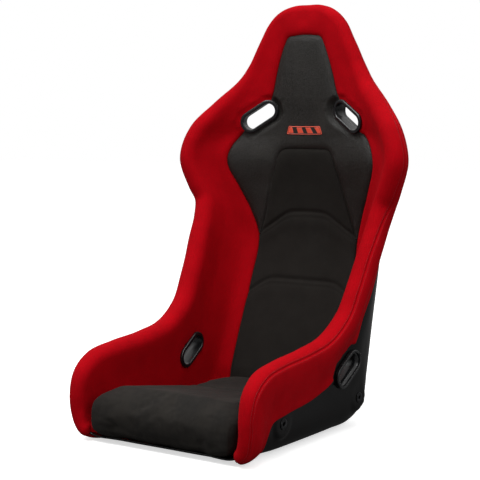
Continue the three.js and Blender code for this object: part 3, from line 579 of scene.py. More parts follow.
def panel_grid():
    u = panel_stations(JUNCTION - 0.35, 0.1)
    edge = panel_edge_row(u)
    share = np.linspace(0, 1, 44)
    w = edge[:, None] * share[None]
    stations = np.broadcast_to(u[:, None], w.shape)
    surface = middle(stations, w)
    height = trim_height(surface, ALL_SEAMS, stations, w, PANEL_SEAM_DEPTH, PANEL_SEAM_WIDTH)
    for chevron in CHEVRONS:
        over = chevron_distance(surface, chevron)
        height -= crease(over, 3.2 * MM, 4.5 * MM)
        height -= crease(over + 11 * MM, 1.1 * MM, 3.0 * MM)
        height += crease(over + 26 * MM, 0.9 * MM, 12 * MM)
    fold = wrinkle(surface, 0.07, 4) * 0.5 * MM
    grid = surface + normal(stations, w) * (height + fold)[..., None]
    tuck = grid[:, -1:] - normal(stations[:, -1:], w[:, -1:]) * TUCK
    grid = np.concatenate([grid, tuck], axis=1)
    return np.concatenate([grid, grid[-1:] - normal(u[-1:], np.array([0.1]))[:, None] * TUCK])


def build_back_panel():
    right = panel_grid()
    whole = np.concatenate([right[:, :0:-1] * SIDEWAYS, right], axis=1)
    rows, columns = whole.shape[:2]
    return make_object("back_panel", whole, grid_faces(rows, columns), whole[..., [0, 2]])


def build_insert():
    """Shoulder insert: beside the panel up to its top, and all across from there to the crown."""
    beside = panel_stations(WAIST_STATION + 0.01, 0.1)
    above = even_stations(TOP_STATION, TOP, SEAM_ROW, BACK_SPACING)[1:]
    u = np.concatenate([beside, above])
    split = panel_edge_row(np.minimum(u, TOP_STATION))
    centre, side = 26, 36
    inner = split[:, None] * np.linspace(0, 1, centre)[None, :-1]
    outer = split[:, None] + (SEAM_ROW - split[:, None]) * np.linspace(0, 1, side)[None]
    w = np.concatenate([inner, outer], axis=1)
    stations = np.broadcast_to(u[:, None], w.shape)
    surface = middle(stations, w)
    height = trim_height(surface, ALL_SEAMS, stations, w, VALLEY_DEPTH, VALLEY_WIDTH)
    fold = wrinkle(surface, 0.06, 5) * 0.6 * MM
    grid = surface + normal(stations, w) * (height + fold)[..., None]
    grid = grid + normal(stations, w) * pulled_folds(grid, RIGHT_SLOTS, 8)[..., None]
    grid = press_under_flanges(grid, RIGHT_SLOTS)
    tuck = grid[:, -1:] - normal(stations[:, -1:], w[:, -1:]) * TUCK
    grid = np.concatenate([grid, tuck], axis=1)
    rows, columns = grid.shape[:2]
    keep = clear_of_openings(grid, RIGHT_SLOTS)
    keep[: len(beside) - 1, : centre - 1] = False
    whole = np.concatenate([grid[:, :0:-1] * SIDEWAYS, grid], axis=1)
    whole_keep = np.concatenate([keep[:, ::-1], keep], axis=1)
    faces = grid_faces(rows, 2 * columns - 1, keep=whole_keep)
    return make_object("shoulder_insert_trim", whole, faces, whole[..., [0, 2]])


# ------------------------------------------------------------------------------------ shell

FEET = [(x, y) for x in (-105, 105) for y in (-160, 70)]
FOOT_HALF = (27 * MM, 35 * MM)
MOUNTS = [(side, y * MM, 64 * MM) for side in (-1, 1) for y in (-155, 135)]
RIGHT_MOUNTS = MOUNTS[2:]
MOUNT_FACE = 209 * MM
PAD_RADIUS = 25 * MM
PAD_EASE = 7 * MM
SIDE_START = 150 * MM  # the shell's sides lie further out than this
MOUNT_HOLE_RADIUS = 8.5 * MM
SHELL_CUT_ROOM = 3 * MM
SHELL_CUT_REACH = 60 * MM


def box_mask(x, y, centre, half, soft=4 * MM):
    across = smoothstep(half[0] + soft - np.abs(x - centre[0]), 0, soft)
    return across * smoothstep(half[1] + soft - np.abs(y - centre[1]), 0, soft)


def moulded_outside(grid):
    """Adds the flat feet under the pan and the round mount pads on the sides to the outer skin."""
    x, y, z = grid[..., 0], grid[..., 1], grid[..., 2]
    under = z < 12 * MM
    for foot_x, foot_y in FEET:
        mask = box_mask(x, y, (foot_x * MM, foot_y * MM), FOOT_HALF) * under
        z = blend(z, 0.0002, mask)
    for _side, mount_y, mount_z in RIGHT_MOUNTS:
        away = np.hypot(grid[..., 1] - mount_y, grid[..., 2] - mount_z)
        mask = (1 - smoothstep(away, PAD_RADIUS, PAD_RADIUS + PAD_EASE)) * (x > SIDE_START)
        x = blend(x, MOUNT_FACE, mask)
    return np.stack([x, grid[..., 1], z], axis=-1)


def build_shell():
    u = even_stations(0, TOP, 0.75, 4.6 * MM)
    share = np.linspace(0, 1, 58)
    w = np.broadcast_to(share[None], (len(u), 58))
    stations = np.broadcast_to(u[:, None], w.shape)
    outside = moulded_outside(offset(stations, w, np.full(w.shape, -SHELL_HALF)))
    inside = offset(stations, w, np.full(w.shape, SHELL_HALF))
    angle = np.broadcast_to(np.array([150, 120, 90, 60, 30])[None], (len(u), 5))
    edge = roll_point(np.broadcast_to(u[:, None], angle.shape), angle, np.full(angle.shape, SHELL_HALF))
    right = np.concatenate([outside, edge, inside[:, ::-1]], axis=1)
    keep = clear_of_openings(right, RIGHT_SLOTS, SHELL_CUT_ROOM, SHELL_CUT_REACH)
    centres = cell_centres(right)
    for _side, mount_y, mount_z in RIGHT_MOUNTS:
        away = np.hypot(centres[..., 1] - mount_y, centres[..., 2] - mount_z)
        keep &= (away > MOUNT_HOLE_RADIUS) | (centres[..., 0] < SIDE_START)
    left = right[:, ::-1] * SIDEWAYS
    rows, columns = right.shape[:2]
    faces = grid_faces(rows, columns, keep=keep, flip=True)
    faces += grid_faces(rows, columns, first=rows * columns, keep=keep[:, ::-1], flip=True)
    vertices = np.concatenate([right.reshape(-1, 3), left.reshape(-1, 3)])
    shell = make_object("shell_moulding", vertices, faces)
    merge_close(shell, 0.05 * MM)
    return shell


def change_mesh(thing, change):
    mesh = bmesh.new()
    mesh.from_mesh(thing.data)
    change(mesh)
    mesh.to_mesh(thing.data)
    mesh.free()


def merge_close(thing, distance):
    change_mesh(thing, lambda mesh: bmesh.ops.remove_doubles(mesh, verts=mesh.verts, dist=distance))


def face_outwards(thing):
    change_mesh(thing, lambda mesh: bmesh.ops.recalc_face_normals(mesh, faces=mesh.faces))


# ------------------------------------------------------------------------------------ bezels, screws, inserts


def ring_object(name, slot, profile):
    lines = np.stack([slot.ring_line(grow, height) for grow, height in profile])
    rows, columns = lines.shape[:2]
    closed = np.concatenate([lines, lines[:1]])
    thing = make_object(name, closed, grid_faces(rows + 1, columns, closed=True))
    merge_close(thing, 0.001 * MM)
    face_outwards(thing)
    return thing


def arc(centre, radius, start, end, steps):
    """Points [outward, height] on an arc, in degrees from the outward direction."""
    angles = np.radians(np.linspace(start, end, steps))
    return [(centre[0] + radius * math.cos(a), centre[1] + radius * math.sin(a)) for a in angles]


def inner_bezel_profile(slot):
    bottom = -slot.depth - 3.5 * MM
    lip = arc((2.6 * MM, 2.4 * MM), 2.6 * MM, 180, 90, 8)
    shoulder = arc((FLANGE_WIDTH - 2.6 * MM, 2.0 * MM), 2.6 * MM, 80, 0, 8)
    back = [(FLANGE_WIDTH, -FLANGE_SEAT), (SLEEVE_WALL, -FLANGE_SEAT), (SLEEVE_WALL, bottom)]
    return [(0, bottom), (0, bottom / 2)] + lip + shoulder + back


def outer_bezel_profile(slot):
    face = -slot.depth - 2.5 * MM
    seat = -slot.depth + 3.5 * MM
    wall = SLEEVE_WALL + 0.3 * MM
    rise = arc((FLANGE_WIDTH - 2.0 * MM, face - 2.5 * MM), 2.0 * MM, 0, -80, 7)
    fall = arc((wall + 1.2 * MM, face - 3.3 * MM), 1.2 * MM, -90, -180, 5)
    return [(wall, seat), (FLANGE_WIDTH, seat)] + rise + fall


def build_bezels(material):
    for slot in SLOTS:
        inner = ring_object(f"{slot.name}_bezel", slot, inner_bezel_profile(slot))
        finish_piece(inner, "seat", "bezel_plastic", material, f"{slot.name}_bezel_inner")
        outer = ring_object(f"{slot.name}_back_ring", slot, outer_bezel_profile(slot))
        finish_piece(outer, "seat", "bezel_plastic", material, f"{slot.name}_bezel_outer")


def turned_object(name, profile, sides=40):
    """A turned piece on the Z axis from [radius, height] points, closed where the radius is zero."""
    vertices = []
    for radius, height in profile:
        for k in range(sides):
            angle = 2 * math.pi * k / sides
            vertices.append((radius * math.cos(angle), radius * math.sin(angle), height))
    thing = make_object(name, vertices, grid_faces(len(profile), sides, closed=True))
    merge_close(thing, 0.002 * MM)
    face_outwards(thing)
    return thing


def screw_master():
    """Dome-headed screw with a hexagonal socket, its axis on Z and its seat at zero."""
    head = [(1.75, -8), (1.75, 0), (3.5, 0), (3.55, 0.5), (3.3, 1.3), (2.6, 1.9), (1.75, 2.15)]
    socket = [(1.25, 2.0), (1.2, 0.9), (0, 0.8)]
    profile = [(0, -8.6)] + head + socket
    return turned_object("screw_master", [(r * MM, h * MM) for r, h in profile], 24)


def insert_master():
    """Flanged threaded insert, with a few turns of thread in its bore."""
    profile = [(7, -17), (7, 0.3), (10.6, 0.3), (11, 0.7), (11, 1.2), (10.5, 1.6), (5.2, 1.6), (4.4, 0.8)]
    turns = 12
    for k in range(turns * 2 + 1):
        profile.append((4.0 if k % 2 else 4.45, 0.4 - k * 0.62))
    profile += [(4, -17), (7, -17)]
    return turned_object("insert_master", [(r * MM, h * MM) for r, h in profile], 48)


def place_on_points(name, master, points, facings, material):
    """Puts a copy of the master on each point, its Z axis along the point's facing, by a node tree."""
    mesh = bpy.data.meshes.new(name)
    mesh.from_pydata([tuple(p) for p in points], [], [])
    facing = mesh.attributes.new("facing", "FLOAT_VECTOR", "POINT")
    facing.data.foreach_set("vector", np.asarray(facings, np.float32).ravel())
    holder = bpy.data.objects.new(name, mesh)
    bpy.context.scene.collection.objects.link(holder)
    tree = bpy.data.node_groups.new(f"{name} layout", "GeometryNodeTree")
    tree.interface.new_socket("Places", in_out="INPUT", socket_type="NodeSocketGeometry")
    tree.interface.new_socket("Piece", in_out="INPUT", socket_type="NodeSocketObject")
    tree.interface.new_socket("Size", in_out="INPUT", socket_type="NodeSocketFloat").default_value = 1.0
    tree.interface.new_socket("Material", in_out="INPUT", socket_type="NodeSocketMaterial")
    tree.interface.new_socket("Pieces", in_out="OUTPUT", socket_type="NodeSocketGeometry")
    node = tree.nodes.new
    given, result = node("NodeGroupInput"), node("NodeGroupOutput")
    piece = node("GeometryNodeObjectInfo")
    direction = node("GeometryNodeInputNamedAttribute")
    direction.data_type = "FLOAT_VECTOR"
    direction.inputs["Name"].default_value = "facing"
    turn = node("FunctionNodeAlignRotationToVector")
    turn.axis = "Z"
    copies = node("GeometryNodeInstanceOnPoints")
    real = node("GeometryNodeRealizeInstances")
    paint = node("GeometryNodeSetMaterial")
    link = tree.links.new
    link(given.outputs["Places"], copies.inputs["Points"])
    link(given.outputs["Piece"], piece.inputs["Object"])
    link(piece.outputs["Geometry"], copies.inputs["Instance"])
    link(direction.outputs["Attribute"], turn.inputs["Vector"])
    link(turn.outputs["Rotation"], copies.inputs["Rotation"])
    link(given.outputs["Size"], copies.inputs["Scale"])
    link(copies.outputs["Instances"], real.inputs["Geometry"])
    link(real.outputs["Geometry"], paint.inputs["Geometry"])
    link(given.outputs["Material"], paint.inputs["Material"])
    link(paint.outputs["Geometry"], result.inputs["Pieces"])
    return baked(holder, tree, {"Piece": master, "Material": material})


def baked(holder, tree, values):
    """Runs a node tree on an object and keeps its result as a plain mesh."""
    modifier = holder.modifiers.new("layout", "NODES")
    modifier.node_group = tree
    for item in tree.interface.items_tree:
        if item.item_type == "SOCKET" and item.in_out == "INPUT" and item.name in values:
            modifier[item.identifier] = values[item.name]
    graph = bpy.context.evaluated_depsgraph_get()
    mesh = bpy.data.meshes.new_from_object(holder.evaluated_get(graph))
    holder.modifiers.remove(modifier)
    holder.data = mesh
    facing = mesh.attributes.get("facing")
    if facing is not None:
        mesh.attributes.remove(facing)
    mesh.polygons.foreach_set("use_smooth", [True] * len(mesh.polygons))
    return holder


def build_screws(material):
    points, facings = [], []
    for slot in SLOTS:
        for end in (-1, 1):
            head = -slot.depth - 7.3 * MM
            points.append(slot.seat + slot.along * (end * SCREW_REACH) + slot.out * head)
            facings.append(-slot.out)
    master = screw_master()
    screws = place_on_points("bezel_screws", master, points, facings, material)
    bpy.data.objects.remove(master)
    nodes = [f"{slot.name}_screw_{end}" for slot in SLOTS for end in ("upper", "lower")]
    finish_piece(screws, "seat", "steel", None, *nodes)


def build_mount_inserts(material):
    points = [(side * MOUNT_FACE, y, z) for side, y, z in MOUNTS]
    facings = [(side, 0, 0) for side, _y, _z in MOUNTS]
    master = insert_master()
    inserts = place_on_points("side_mount_inserts", master, points, facings, material)
    bpy.data.objects.remove(master)
    nodes = [f"{hand}_{end}_mount_insert" for hand in ("left", "right") for end in ("front", "rear")]
    finish_piece(inserts, "seat", "steel", None, *nodes)


# ------------------------------------------------------------------------------------ stitching


def stitch_tree():
    """Stitches along an edge line: a short thread capsule every so often, lying along the line."""
    tree = bpy.data.node_groups.new("stitch line", "GeometryNodeTree")
    sockets = (
        ("Line", "INPUT", "NodeSocketGeometry", None),
        ("Pitch", "INPUT", "NodeSocketFloat", 4.5 * MM),
        ("Stitch length", "INPUT", "NodeSocketFloat", 3.4 * MM),
        ("Thread radius", "INPUT", "NodeSocketFloat", 0.45 * MM),
        ("Thread", "INPUT", "NodeSocketMaterial", None),
        ("Stitches", "OUTPUT", "NodeSocketGeometry", None),
    )
    for name, way, kind, value in sockets:
        socket = tree.interface.new_socket(name, in_out=way, socket_type=kind)
        if value is not None:
            socket.default_value = value
    node, link = tree.nodes.new, tree.links.new
    given, result = node("NodeGroupInput"), node("NodeGroupOutput")
    curve = node("GeometryNodeMeshToCurve")
    even = node("GeometryNodeResampleCurve")
    even.mode = "LENGTH"
    ball = node("GeometryNodeMeshUVSphere")
    ball.inputs["Segments"].default_value = 6
    ball.inputs["Rings"].default_value = 4
    half = node("ShaderNodeMath")
    half.operation = "MULTIPLY"
    half.inputs[1].default_value = 0.5
    size = node("ShaderNodeCombineXYZ")
    shape = node("GeometryNodeTransform")
    tangent = node("GeometryNodeInputTangent")
    turn = node("FunctionNodeAlignRotationToVector")
    turn.axis = "Z"
    copies = node("GeometryNodeInstanceOnPoints")
    real = node("GeometryNodeRealizeInstances")
    paint = node("GeometryNodeSetMaterial")
    link(given.outputs["Line"], curve.inputs["Mesh"])
    link(curve.outputs["Curve"], even.inputs["Curve"])
    link(given.outputs["Pitch"], even.inputs["Length"])
    link(given.outputs["Stitch length"], half.inputs[0])
    link(given.outputs["Thread radius"], size.inputs["X"])
    link(given.outputs["Thread radius"], size.inputs["Y"])
    link(half.outputs["Value"], size.inputs["Z"])
    link(size.outputs["Vector"], shape.inputs["Scale"])
    ball.inputs["Radius"].default_value = 1.0
    link(ball.outputs["Mesh"], shape.inputs["Geometry"])
    link(even.outputs["Curve"], copies.inputs["Points"])
    link(shape.outputs["Geometry"], copies.inputs["Instance"])
    link(tangent.outputs["Tangent"], turn.inputs["Vector"])
    link(turn.outputs["Rotation"], copies.inputs["Rotation"])
    link(copies.outputs["Instances"], real.inputs["Geometry"])
    link(real.outputs["Geometry"], paint.inputs["Geometry"])
    link(given.outputs["Thread"], paint.inputs["Material"])
    link(paint.outputs["Geometry"], result.inputs["Stitches"])
    return tree


STITCH_TREE = stitch_tree()


def sew(name, lines, thread, pitch=4.5 * MM, length=3.4 * MM, radius=0.45 * MM):
    """One piece of stitching over several open lines of points."""
    vertices, edges = [], []
    for line in lines:
        first = len(vertices)
        vertices += [tuple(p) for p in line]
        edges += [(first + i, first + i + 1) for i in range(len(line) - 1)]
    mesh = bpy.data.meshes.new(name)
    mesh.from_pydata(vertices, edges, [])
    holder = bpy.data.objects.new(name, mesh)
    bpy.context.scene.collection.objects.link(holder)
    values = {"Pitch": pitch, "Stitch length": length, "Thread radius": radius, "Thread": thread}
    return baked(holder, STITCH_TREE, values)


def build_double_seam(right, thread):
    """Two rows of stitches, one each side of the seam on the outside of the wings' crest."""
    lines = []
    first = 1 + INNER_STEPS + ROLL_STEPS
    for column in (first, first + len(BESIDE_SEAM) - 1):
        line = right[:, column]
        lines.append(np.concatenate([line, (line * SIDEWAYS)[-2::-1]])[3:-3])
    seam = sew("double_seam_stitching", lines, thread)
    finish_piece(seam, "seat", "red_cloth", None)


# ------------------------------------------------------------------------------------ badge

BADGE_STATION = 20.28
BADGE_HALF = (45 * MM, 9 * MM)


def build_badge(material):
    """A plain plate with rounded corners, a raised rim and slanted bars, following the insert's surface."""
    across, up = 121, 31
    centre = middle(np.array([BADGE_STATION]), np.array([0.0]))[0]
    s = np.linspace(-1, 1, across)[None]
    t = np.linspace(-1, 1, up)[:, None]
    x = s * BADGE_HALF[0] + 0 * t
    z = t * BADGE_HALF[1] + 0 * s
    corner = 3.0 * MM
    inside_x = np.clip(x, -BADGE_HALF[0] + corner, BADGE_HALF[0] - corner)
    inside_z = np.clip(z, -BADGE_HALF[1] + corner, BADGE_HALF[1] - corner)
    away = np.hypot(x - inside_x, z - inside_z)
    pull = np.where(away > corner, corner / np.maximum(away, 1e-9), 1)
    x = inside_x + (x - inside_x) * pull
    z = inside_z + (z - inside_z) * pull
    away = np.minimum(away, corner)
    row = x / (2 * middle(np.array([BADGE_STATION]), np.array([0.125]))[0, 0]) * 0.25
    stations = np.broadcast_to(BADGE_STATION + z / (44 * MM), x.shape)
    border = np.minimum(BADGE_HALF[0] - np.abs(x), BADGE_HALF[1] - np.abs(z))
    slant = np.abs(((x + 0.45 * z) / (26 * MM)) % 1 - 0.5) * 26 * MM
    bars = smoothstep(slant, 7.5 * MM, 6.9 * MM) * smoothstep(border, 2.6 * MM, 3.1 * MM)
    rim = smoothstep(border, 1.9 * MM, 1.4 * MM)
    height = 0.7 * MM + 0.8 * MM * np.maximum(bars, rim) * smoothstep(border, 0, 0.5 * MM)
    w = np.abs(row)
    face = offset(stations, w, padding(stations, w) + height)
    face[..., 0] = np.where(x < 0, -face[..., 0], face[..., 0])
    back = offset(stations, w, padding(stations, w) - 1.4 * MM)
    back[..., 0] = np.where(x < 0, -back[..., 0], back[..., 0])
    loop = [(0, j) for j in range(across)] + [(i, across - 1) for i in range(1, up)]
    loop += [(up - 1, j) for j in range(across - 2, -1, -1)] + [(i, 0) for i in range(up - 2, 0, -1)]
    faces = grid_faces(up, across)
    under = up * across
    skirt = [back[i, j] for i, j in loop]
    for k, (i, j) in enumerate(loop):
        n = (k + 1) % len(loop)
        a, b = i * across + j, loop[n][0] * across + loop[n][1]
        faces.append((b, a, under + k, under + n))
    badge = make_object("badge_plate", np.concatenate([face.reshape(-1, 3), skirt]), faces)
    raised = badge.data.attributes.new("raised", "FLOAT", "POINT")
    raised.data.foreach_set("value", np.concatenate([np.maximum(bars, rim).ravel(), np.ones(len(skirt))]))
    finish_piece(badge, "seat", "badge", material, "badge")


# ------------------------------------------------------------------------------------ cushion

FOAM_FLOOR = 15 * MM
CUSHION_SECTIONS = [
    (-288, 164, 34, 62, 66),
    (-285, 173, 22, 80, 84),
    (-276, 178, 17, 95, 99),
    (-260, 180, 17, 101, 105),
    (-235, 175, 15, 102, 106),
    (-200, 171, 15, 97, 101),
    (-100, 169, 15, 81, 85),
    (-10, 169, 15, 67, 68),
    (40, 169, 15, 64, 63),
    (110, 165, 15, 66, 65),
    (146, 151, 22, 69, 69),
    (158, 141, 38, 65, 66),
]


def cushion_blank(inset):
    """Closed smooth form of the cushion before its cover is filled out."""
    table = np.array(CUSHION_SECTIONS, float) * MM
    nose, seat, tail = np.linspace(-288, -240, 18), np.linspace(-232, 140, 46), np.linspace(144, 158, 7)
    y = np.concatenate([nose, seat, tail]) * MM
    half, low, side, crown = (np.interp(y, table[:, 0], table[:, i]) for i in range(1, 5))
    around = 72
    vertices = []
    for k in range(len(y)):
        for j in range(around):
            angle = 2 * math.pi * j / around
            c, s = math.cos(angle), math.sin(angle)
            x = (half[k] - inset) * math.copysign(abs(c) ** 0.28, c)
            top = blend(crown[k], side[k], (abs(x) / half[k]) ** 2) - inset
            mid = blend(low[k], top, 0.5)
            z = mid + (top - mid) * math.copysign(abs(s) ** 0.42, s)
            vertices.append((x, y[k], z))
    faces = grid_faces(len(y), around, closed=True)
    faces.append(tuple(range(around)))
    faces.append(tuple(range(len(y) * around - 1, (len(y) - 1) * around - 1, -1)))
    blank = make_object("cushion_blank", vertices, faces)
    face_outwards(blank)
    return blank


def vertex_array(thing):
    co = np.zeros(len(thing.data.vertices) * 3)
    thing.data.vertices.foreach_get("co", co)
    return co.reshape(-1, 3)


def set_vertices(thing, points):
    thing.data.vertices.foreach_set("co", np.asarray(points, float).ravel())
    thing.data.update()


def apply_modifiers(thing):
    graph = bpy.context.evaluated_depsgraph_get()
    mesh = bpy.data.meshes.new_from_object(thing.evaluated_get(graph))
    thing.modifiers.clear()
    thing.data = mesh


def fill_out(thing, frames=20, pressure=4.0, most=12 * MM):
    """Lets the cover swell under pressure like stuffed fabric, no point further than a set distance."""
    start = vertex_array(thing)
    cloth = thing.modifiers.new("filling", "CLOTH")
    settings = cloth.settings
    settings.use_pressure = True
    settings.uniform_pressure_force = pressure
    settings.mass = 0.3
    settings.tension_stiffness = 12
    settings.compression_stiffness = 12
    settings.shear_stiffness = 8
    settings.bending_stiffness = 1.2
    settings.effector_weights.gravity = 0
    scene = bpy.context.scene
    scene.frame_start, scene.frame_end = 1, frames
    cloth.point_cache.frame_start, cloth.point_cache.frame_end = 1, frames
    for number in range(1, frames + 1):
        scene.frame_set(number)
    apply_modifiers(thing)
    scene.frame_set(1)
    moved = vertex_array(thing) - start
    length = np.linalg.norm(moved, axis=1, keepdims=True)
    set_vertices(thing, start + moved * np.minimum(1, most / np.maximum(length, 1e-9)))


def cushion_seams(points):
    """Depth of the cushion's bowed cross crease and of the seams down the corners of its nose."""
    x, y, z = points[:, 0], points[:, 1], points[:, 2]
    table = np.array(CUSHION_SECTIONS, float) * MM
    half = np.interp(y, table[:, 0], table[:, 1])
    top = smoothstep(z, 30 * MM, 46 * MM)
    cross = crease(y - (-4 * MM + 1.42 * x**2), 3.4 * MM, 6 * MM) * top
    corner = crease(np.abs(x) - (half - 9 * MM), 1.8 * MM, 2.6 * MM)
    return cross + corner * smoothstep(-y, 0.262, 0.272) * smoothstep(z, 20 * MM, 40 * MM)


def corner_folds(points):
    """Small folds in the cushion's cover near the corners of its nose."""
    near = np.exp(-(((np.abs(points[:, 0]) - 0.128) / 0.024) ** 2)) * smoothstep(-points[:, 1], 0.25, 0.28)
    return near * wrinkle(points * np.array([0.55, 1, 1.6]), 0.016, 9) * 1.6 * MM


def build_cushion(material):
    blank = cushion_blank(3 * MM)
    blank.name = "seat_cushion"
    remesh = blank.modifiers.new("even", "REMESH")
    remesh.mode = "VOXEL"
    remesh.voxel_size = 5.5 * MM
    apply_modifiers(blank)
    fill_out(blank)
    rounding = blank.modifiers.new("rounding", "SUBSURF")
    rounding.levels = rounding.render_levels = 1
    apply_modifiers(blank)
    points = vertex_array(blank)
    normals = np.zeros(len(points) * 3)
    blank.data.vertices.foreach_get("normal", normals)
    normals = normals.reshape(-1, 3)
    folds = wrinkle(points, 0.05, 6) * 1.1 * MM
    folds += wrinkle(points * np.array([1, 0.6, 1]), 0.018, 7) * 0.35 * MM
    folds += corner_folds(points)
    points = points + normals * (folds - cushion_seams(points))[:, None]
    beyond = np.maximum(np.abs(points[:, 0]) - 152 * MM, 0) * smoothstep(-points[:, 1], 0.22, 0.25)
    points[:, 2] = np.maximum(points[:, 2], FOAM_FLOOR + 1.2 * beyond)
    room = np.array([(-288, 176), (-276, 182), (-250, 181), (-200, 172.5), (110, 168), (158, 150)]) * MM
    half_room = np.interp(points[:, 1], room[:, 0], room[:, 1])
    points[:, 0] = np.clip(points[:, 0], -half_room, half_room)
    points[:, 1] = np.clip(points[:, 1], -289 * MM, 163 * MM)
    set_vertices(blank, points)
    blank.data.polygons.foreach_set("use_smooth", [True] * len(blank.data.polygons))
    finish_piece(blank, "cushion", "suede", material, "cushion_cover", "cushion_foam")


# ------------------------------------------------------------------------------------ shader groups


class Graph:
    """A node tree being built, with short ways to add the nodes that the materials use."""

    def __init__(self, tree):
        self.new = tree.nodes.new
        self.link = tree.links.new
        self.nodes = tree.nodes

    def feed(self, socket, value):
        """Links a socket, or sets a plain value."""
        if isinstance(value, bpy.types.NodeSocket):
            self.link(value, socket)
        else:
            socket.default_value = value

    def math(self, operation, a, b=None, clamp=False):
        node = self.new("ShaderNodeMath")
        node.operation = operation
        node.use_clamp = clamp
        self.feed(node.inputs[0], a)
        if b is not None:
            self.feed(node.inputs[1], b)
        return node.outputs["Value"]

    def ramp(self, value, low, high, out_low=0.0, out_high=1.0):
        node = self.new("ShaderNodeMapRange")
        node.interpolation_type = "SMOOTHSTEP"
        self.link(value, node.inputs["Value"])
        node.inputs["From Min"].default_value = low
        node.inputs["From Max"].default_value = high
        node.inputs["To Min"].default_value = out_low
        node.inputs["To Max"].default_value = out_high
        return node.outputs["Result"]

    def mix(self, share, a, b):
        node = self.new("ShaderNodeMix")
        node.data_type = "RGBA"
        for place, value in ((0, share), (6, a), (7, b)):
            self.feed(node.inputs[place], value)
        return node.outputs[2]

    def noise(self, vector, scale, detail=3.0, roughness=0.5):
        node = self.new("ShaderNodeTexNoise")
        node.inputs["Scale"].default_value = scale
        node.inputs["Detail"].default_value = detail
        node.inputs["Roughness"].default_value = roughness
        self.link(vector, node.inputs["Vector"])
        return node.outputs["Fac"]

    def split(self, vector):
        node = self.new("ShaderNodeSeparateXYZ")
        self.link(vector, node.inputs["Vector"])
        return node.outputs

    def group(self, group, values):
        """One use of a shader group."""
        node = self.new("ShaderNodeGroup")
        node.node_tree = group
        for label, value in values.items():
            self.feed(node.inputs[label], value)
        return node.outputs

    def place(self):
        return self.new("ShaderNodeTexCoord").outputs["Object"]

    def camera_ray(self):
        return self.new("ShaderNodeLightPath").outputs["Is Camera Ray"]


VECTOR, COLOUR, NUMBER = "NodeSocketVector", "NodeSocketColor", "NodeSocketFloat"


def shader_group(name, inputs, outputs):
    """A new shader group with named inputs and outputs; returns it and what building it needs."""
    group = bpy.data.node_groups.new(name, "ShaderNodeTree")
    for label, kind, value in inputs:
        socket = group.interface.new_socket(label, in_out="INPUT", socket_type=kind)
        if value is not None:
            socket.default_value = value
    for label, kind in outputs:
        group.interface.new_socket(label, in_out="OUTPUT", socket_type=kind)
    graph = Graph(group)
    return group, graph, graph.new("NodeGroupInput").outputs, graph.new("NodeGroupOutput").inputs


def knit_group():
    """Knitted seat cloth on the piece's own map: rows of small loops with mottled dye, painted shade in the
    gaps between them, and soft pile.
    """
    group, g, given, result = shader_group(
        "knitted cloth",
        [
            ("Map", VECTOR, None),
            ("Colour", COLOUR, (0.5, 0.5, 0.5, 1)),
            ("Shade", COLOUR, (0.2, 0.2, 0.2, 1)),
            ("Loops per metre", NUMBER, 620.0),
            ("Mottle", NUMBER, 0.5),
        ],
        [("Colour", COLOUR), ("Height", NUMBER), ("Roughness", NUMBER)],
    )
    own_map = g.split(given["Map"])
    turns = g.math("MULTIPLY", given["Loops per metre"], 2 * math.pi)
    across = g.math("MULTIPLY", own_map["X"], turns)
    along = g.math("MULTIPLY", own_map["Y"], turns)
    half_along = g.math("MULTIPLY", along, 0.5)
    rising = g.math("SINE", g.math("ADD", across, half_along))
    falling = g.math("SINE", g.math("SUBTRACT", across, half_along))
    loops = g.ramp(g.math("MULTIPLY", rising, falling), -1, 1)
    pile = g.noise(given["Map"], 900, 2)
    broad = g.noise(given["Map"], 22, 4, 0.6)
    fine = g.noise(given["Map"], 240, 3, 0.6)
    mottle = g.math("ADD", g.math("MULTIPLY", broad, 0.55), g.math("MULTIPLY", fine, 0.45))
    pale = g.math("SUBTRACT", 1.0, g.ramp(mottle, 0.32, 0.68))
    depth = g.math("MULTIPLY", pale, given["Mottle"])
    # Painted shade: the gaps between loops, low in the height, are drawn towards the shade colour.
    painted_gap_shade = g.math("MULTIPLY", g.math("SUBTRACT", 1.0, loops), 0.35)
    share = g.math("ADD", depth, painted_gap_shade, clamp=True)
    g.link(g.mix(share, given["Colour"], given["Shade"]), result["Colour"])
    g.link(g.math("ADD", loops, g.math("MULTIPLY", pile, 0.6)), result["Height"])
    g.link(g.ramp(fine, 0.3, 0.7, 0.78, 0.95), result["Roughness"])
    return group


def grain_group():
    """Leatherette pebble grain: cells with soft edges, broken up by noise; its mask, low in the grooves, sets
    painted shade there.
    """
    group, g, given, result = shader_group(
        "leatherette grain",
        [("Place", VECTOR, None), ("Cells per metre", NUMBER, 520.0)],
        [("Height", NUMBER), ("Mask", NUMBER), ("Broad", NUMBER)],
    )
    wobble = g.new("ShaderNodeTexNoise")
    wobble.inputs["Scale"].default_value = 160
    g.link(given["Place"], wobble.inputs["Vector"])
    shift = g.new("ShaderNodeVectorMath")
    shift.operation = "MULTIPLY_ADD"
    shift.inputs[1].default_value = (0.004, 0.004, 0.004)
    g.link(wobble.outputs["Color"], shift.inputs[0])
    g.link(given["Place"], shift.inputs[2])
    cells = g.new("ShaderNodeTexVoronoi")
    cells.feature = "DISTANCE_TO_EDGE"
    g.link(given["Cells per metre"], cells.inputs["Scale"])
    g.link(shift.outputs["Vector"], cells.inputs["Vector"])
    pebble = g.ramp(cells.outputs["Distance"], 0.0, 0.32)
    fine = g.noise(given["Place"], 1400, 3)
    g.link(g.math("ADD", pebble, g.math("MULTIPLY", fine, 0.3)), result["Height"])
    g.link(pebble, result["Mask"])
    g.link(g.noise(given["Place"], 14, 4, 0.6), result["Broad"])
    return group


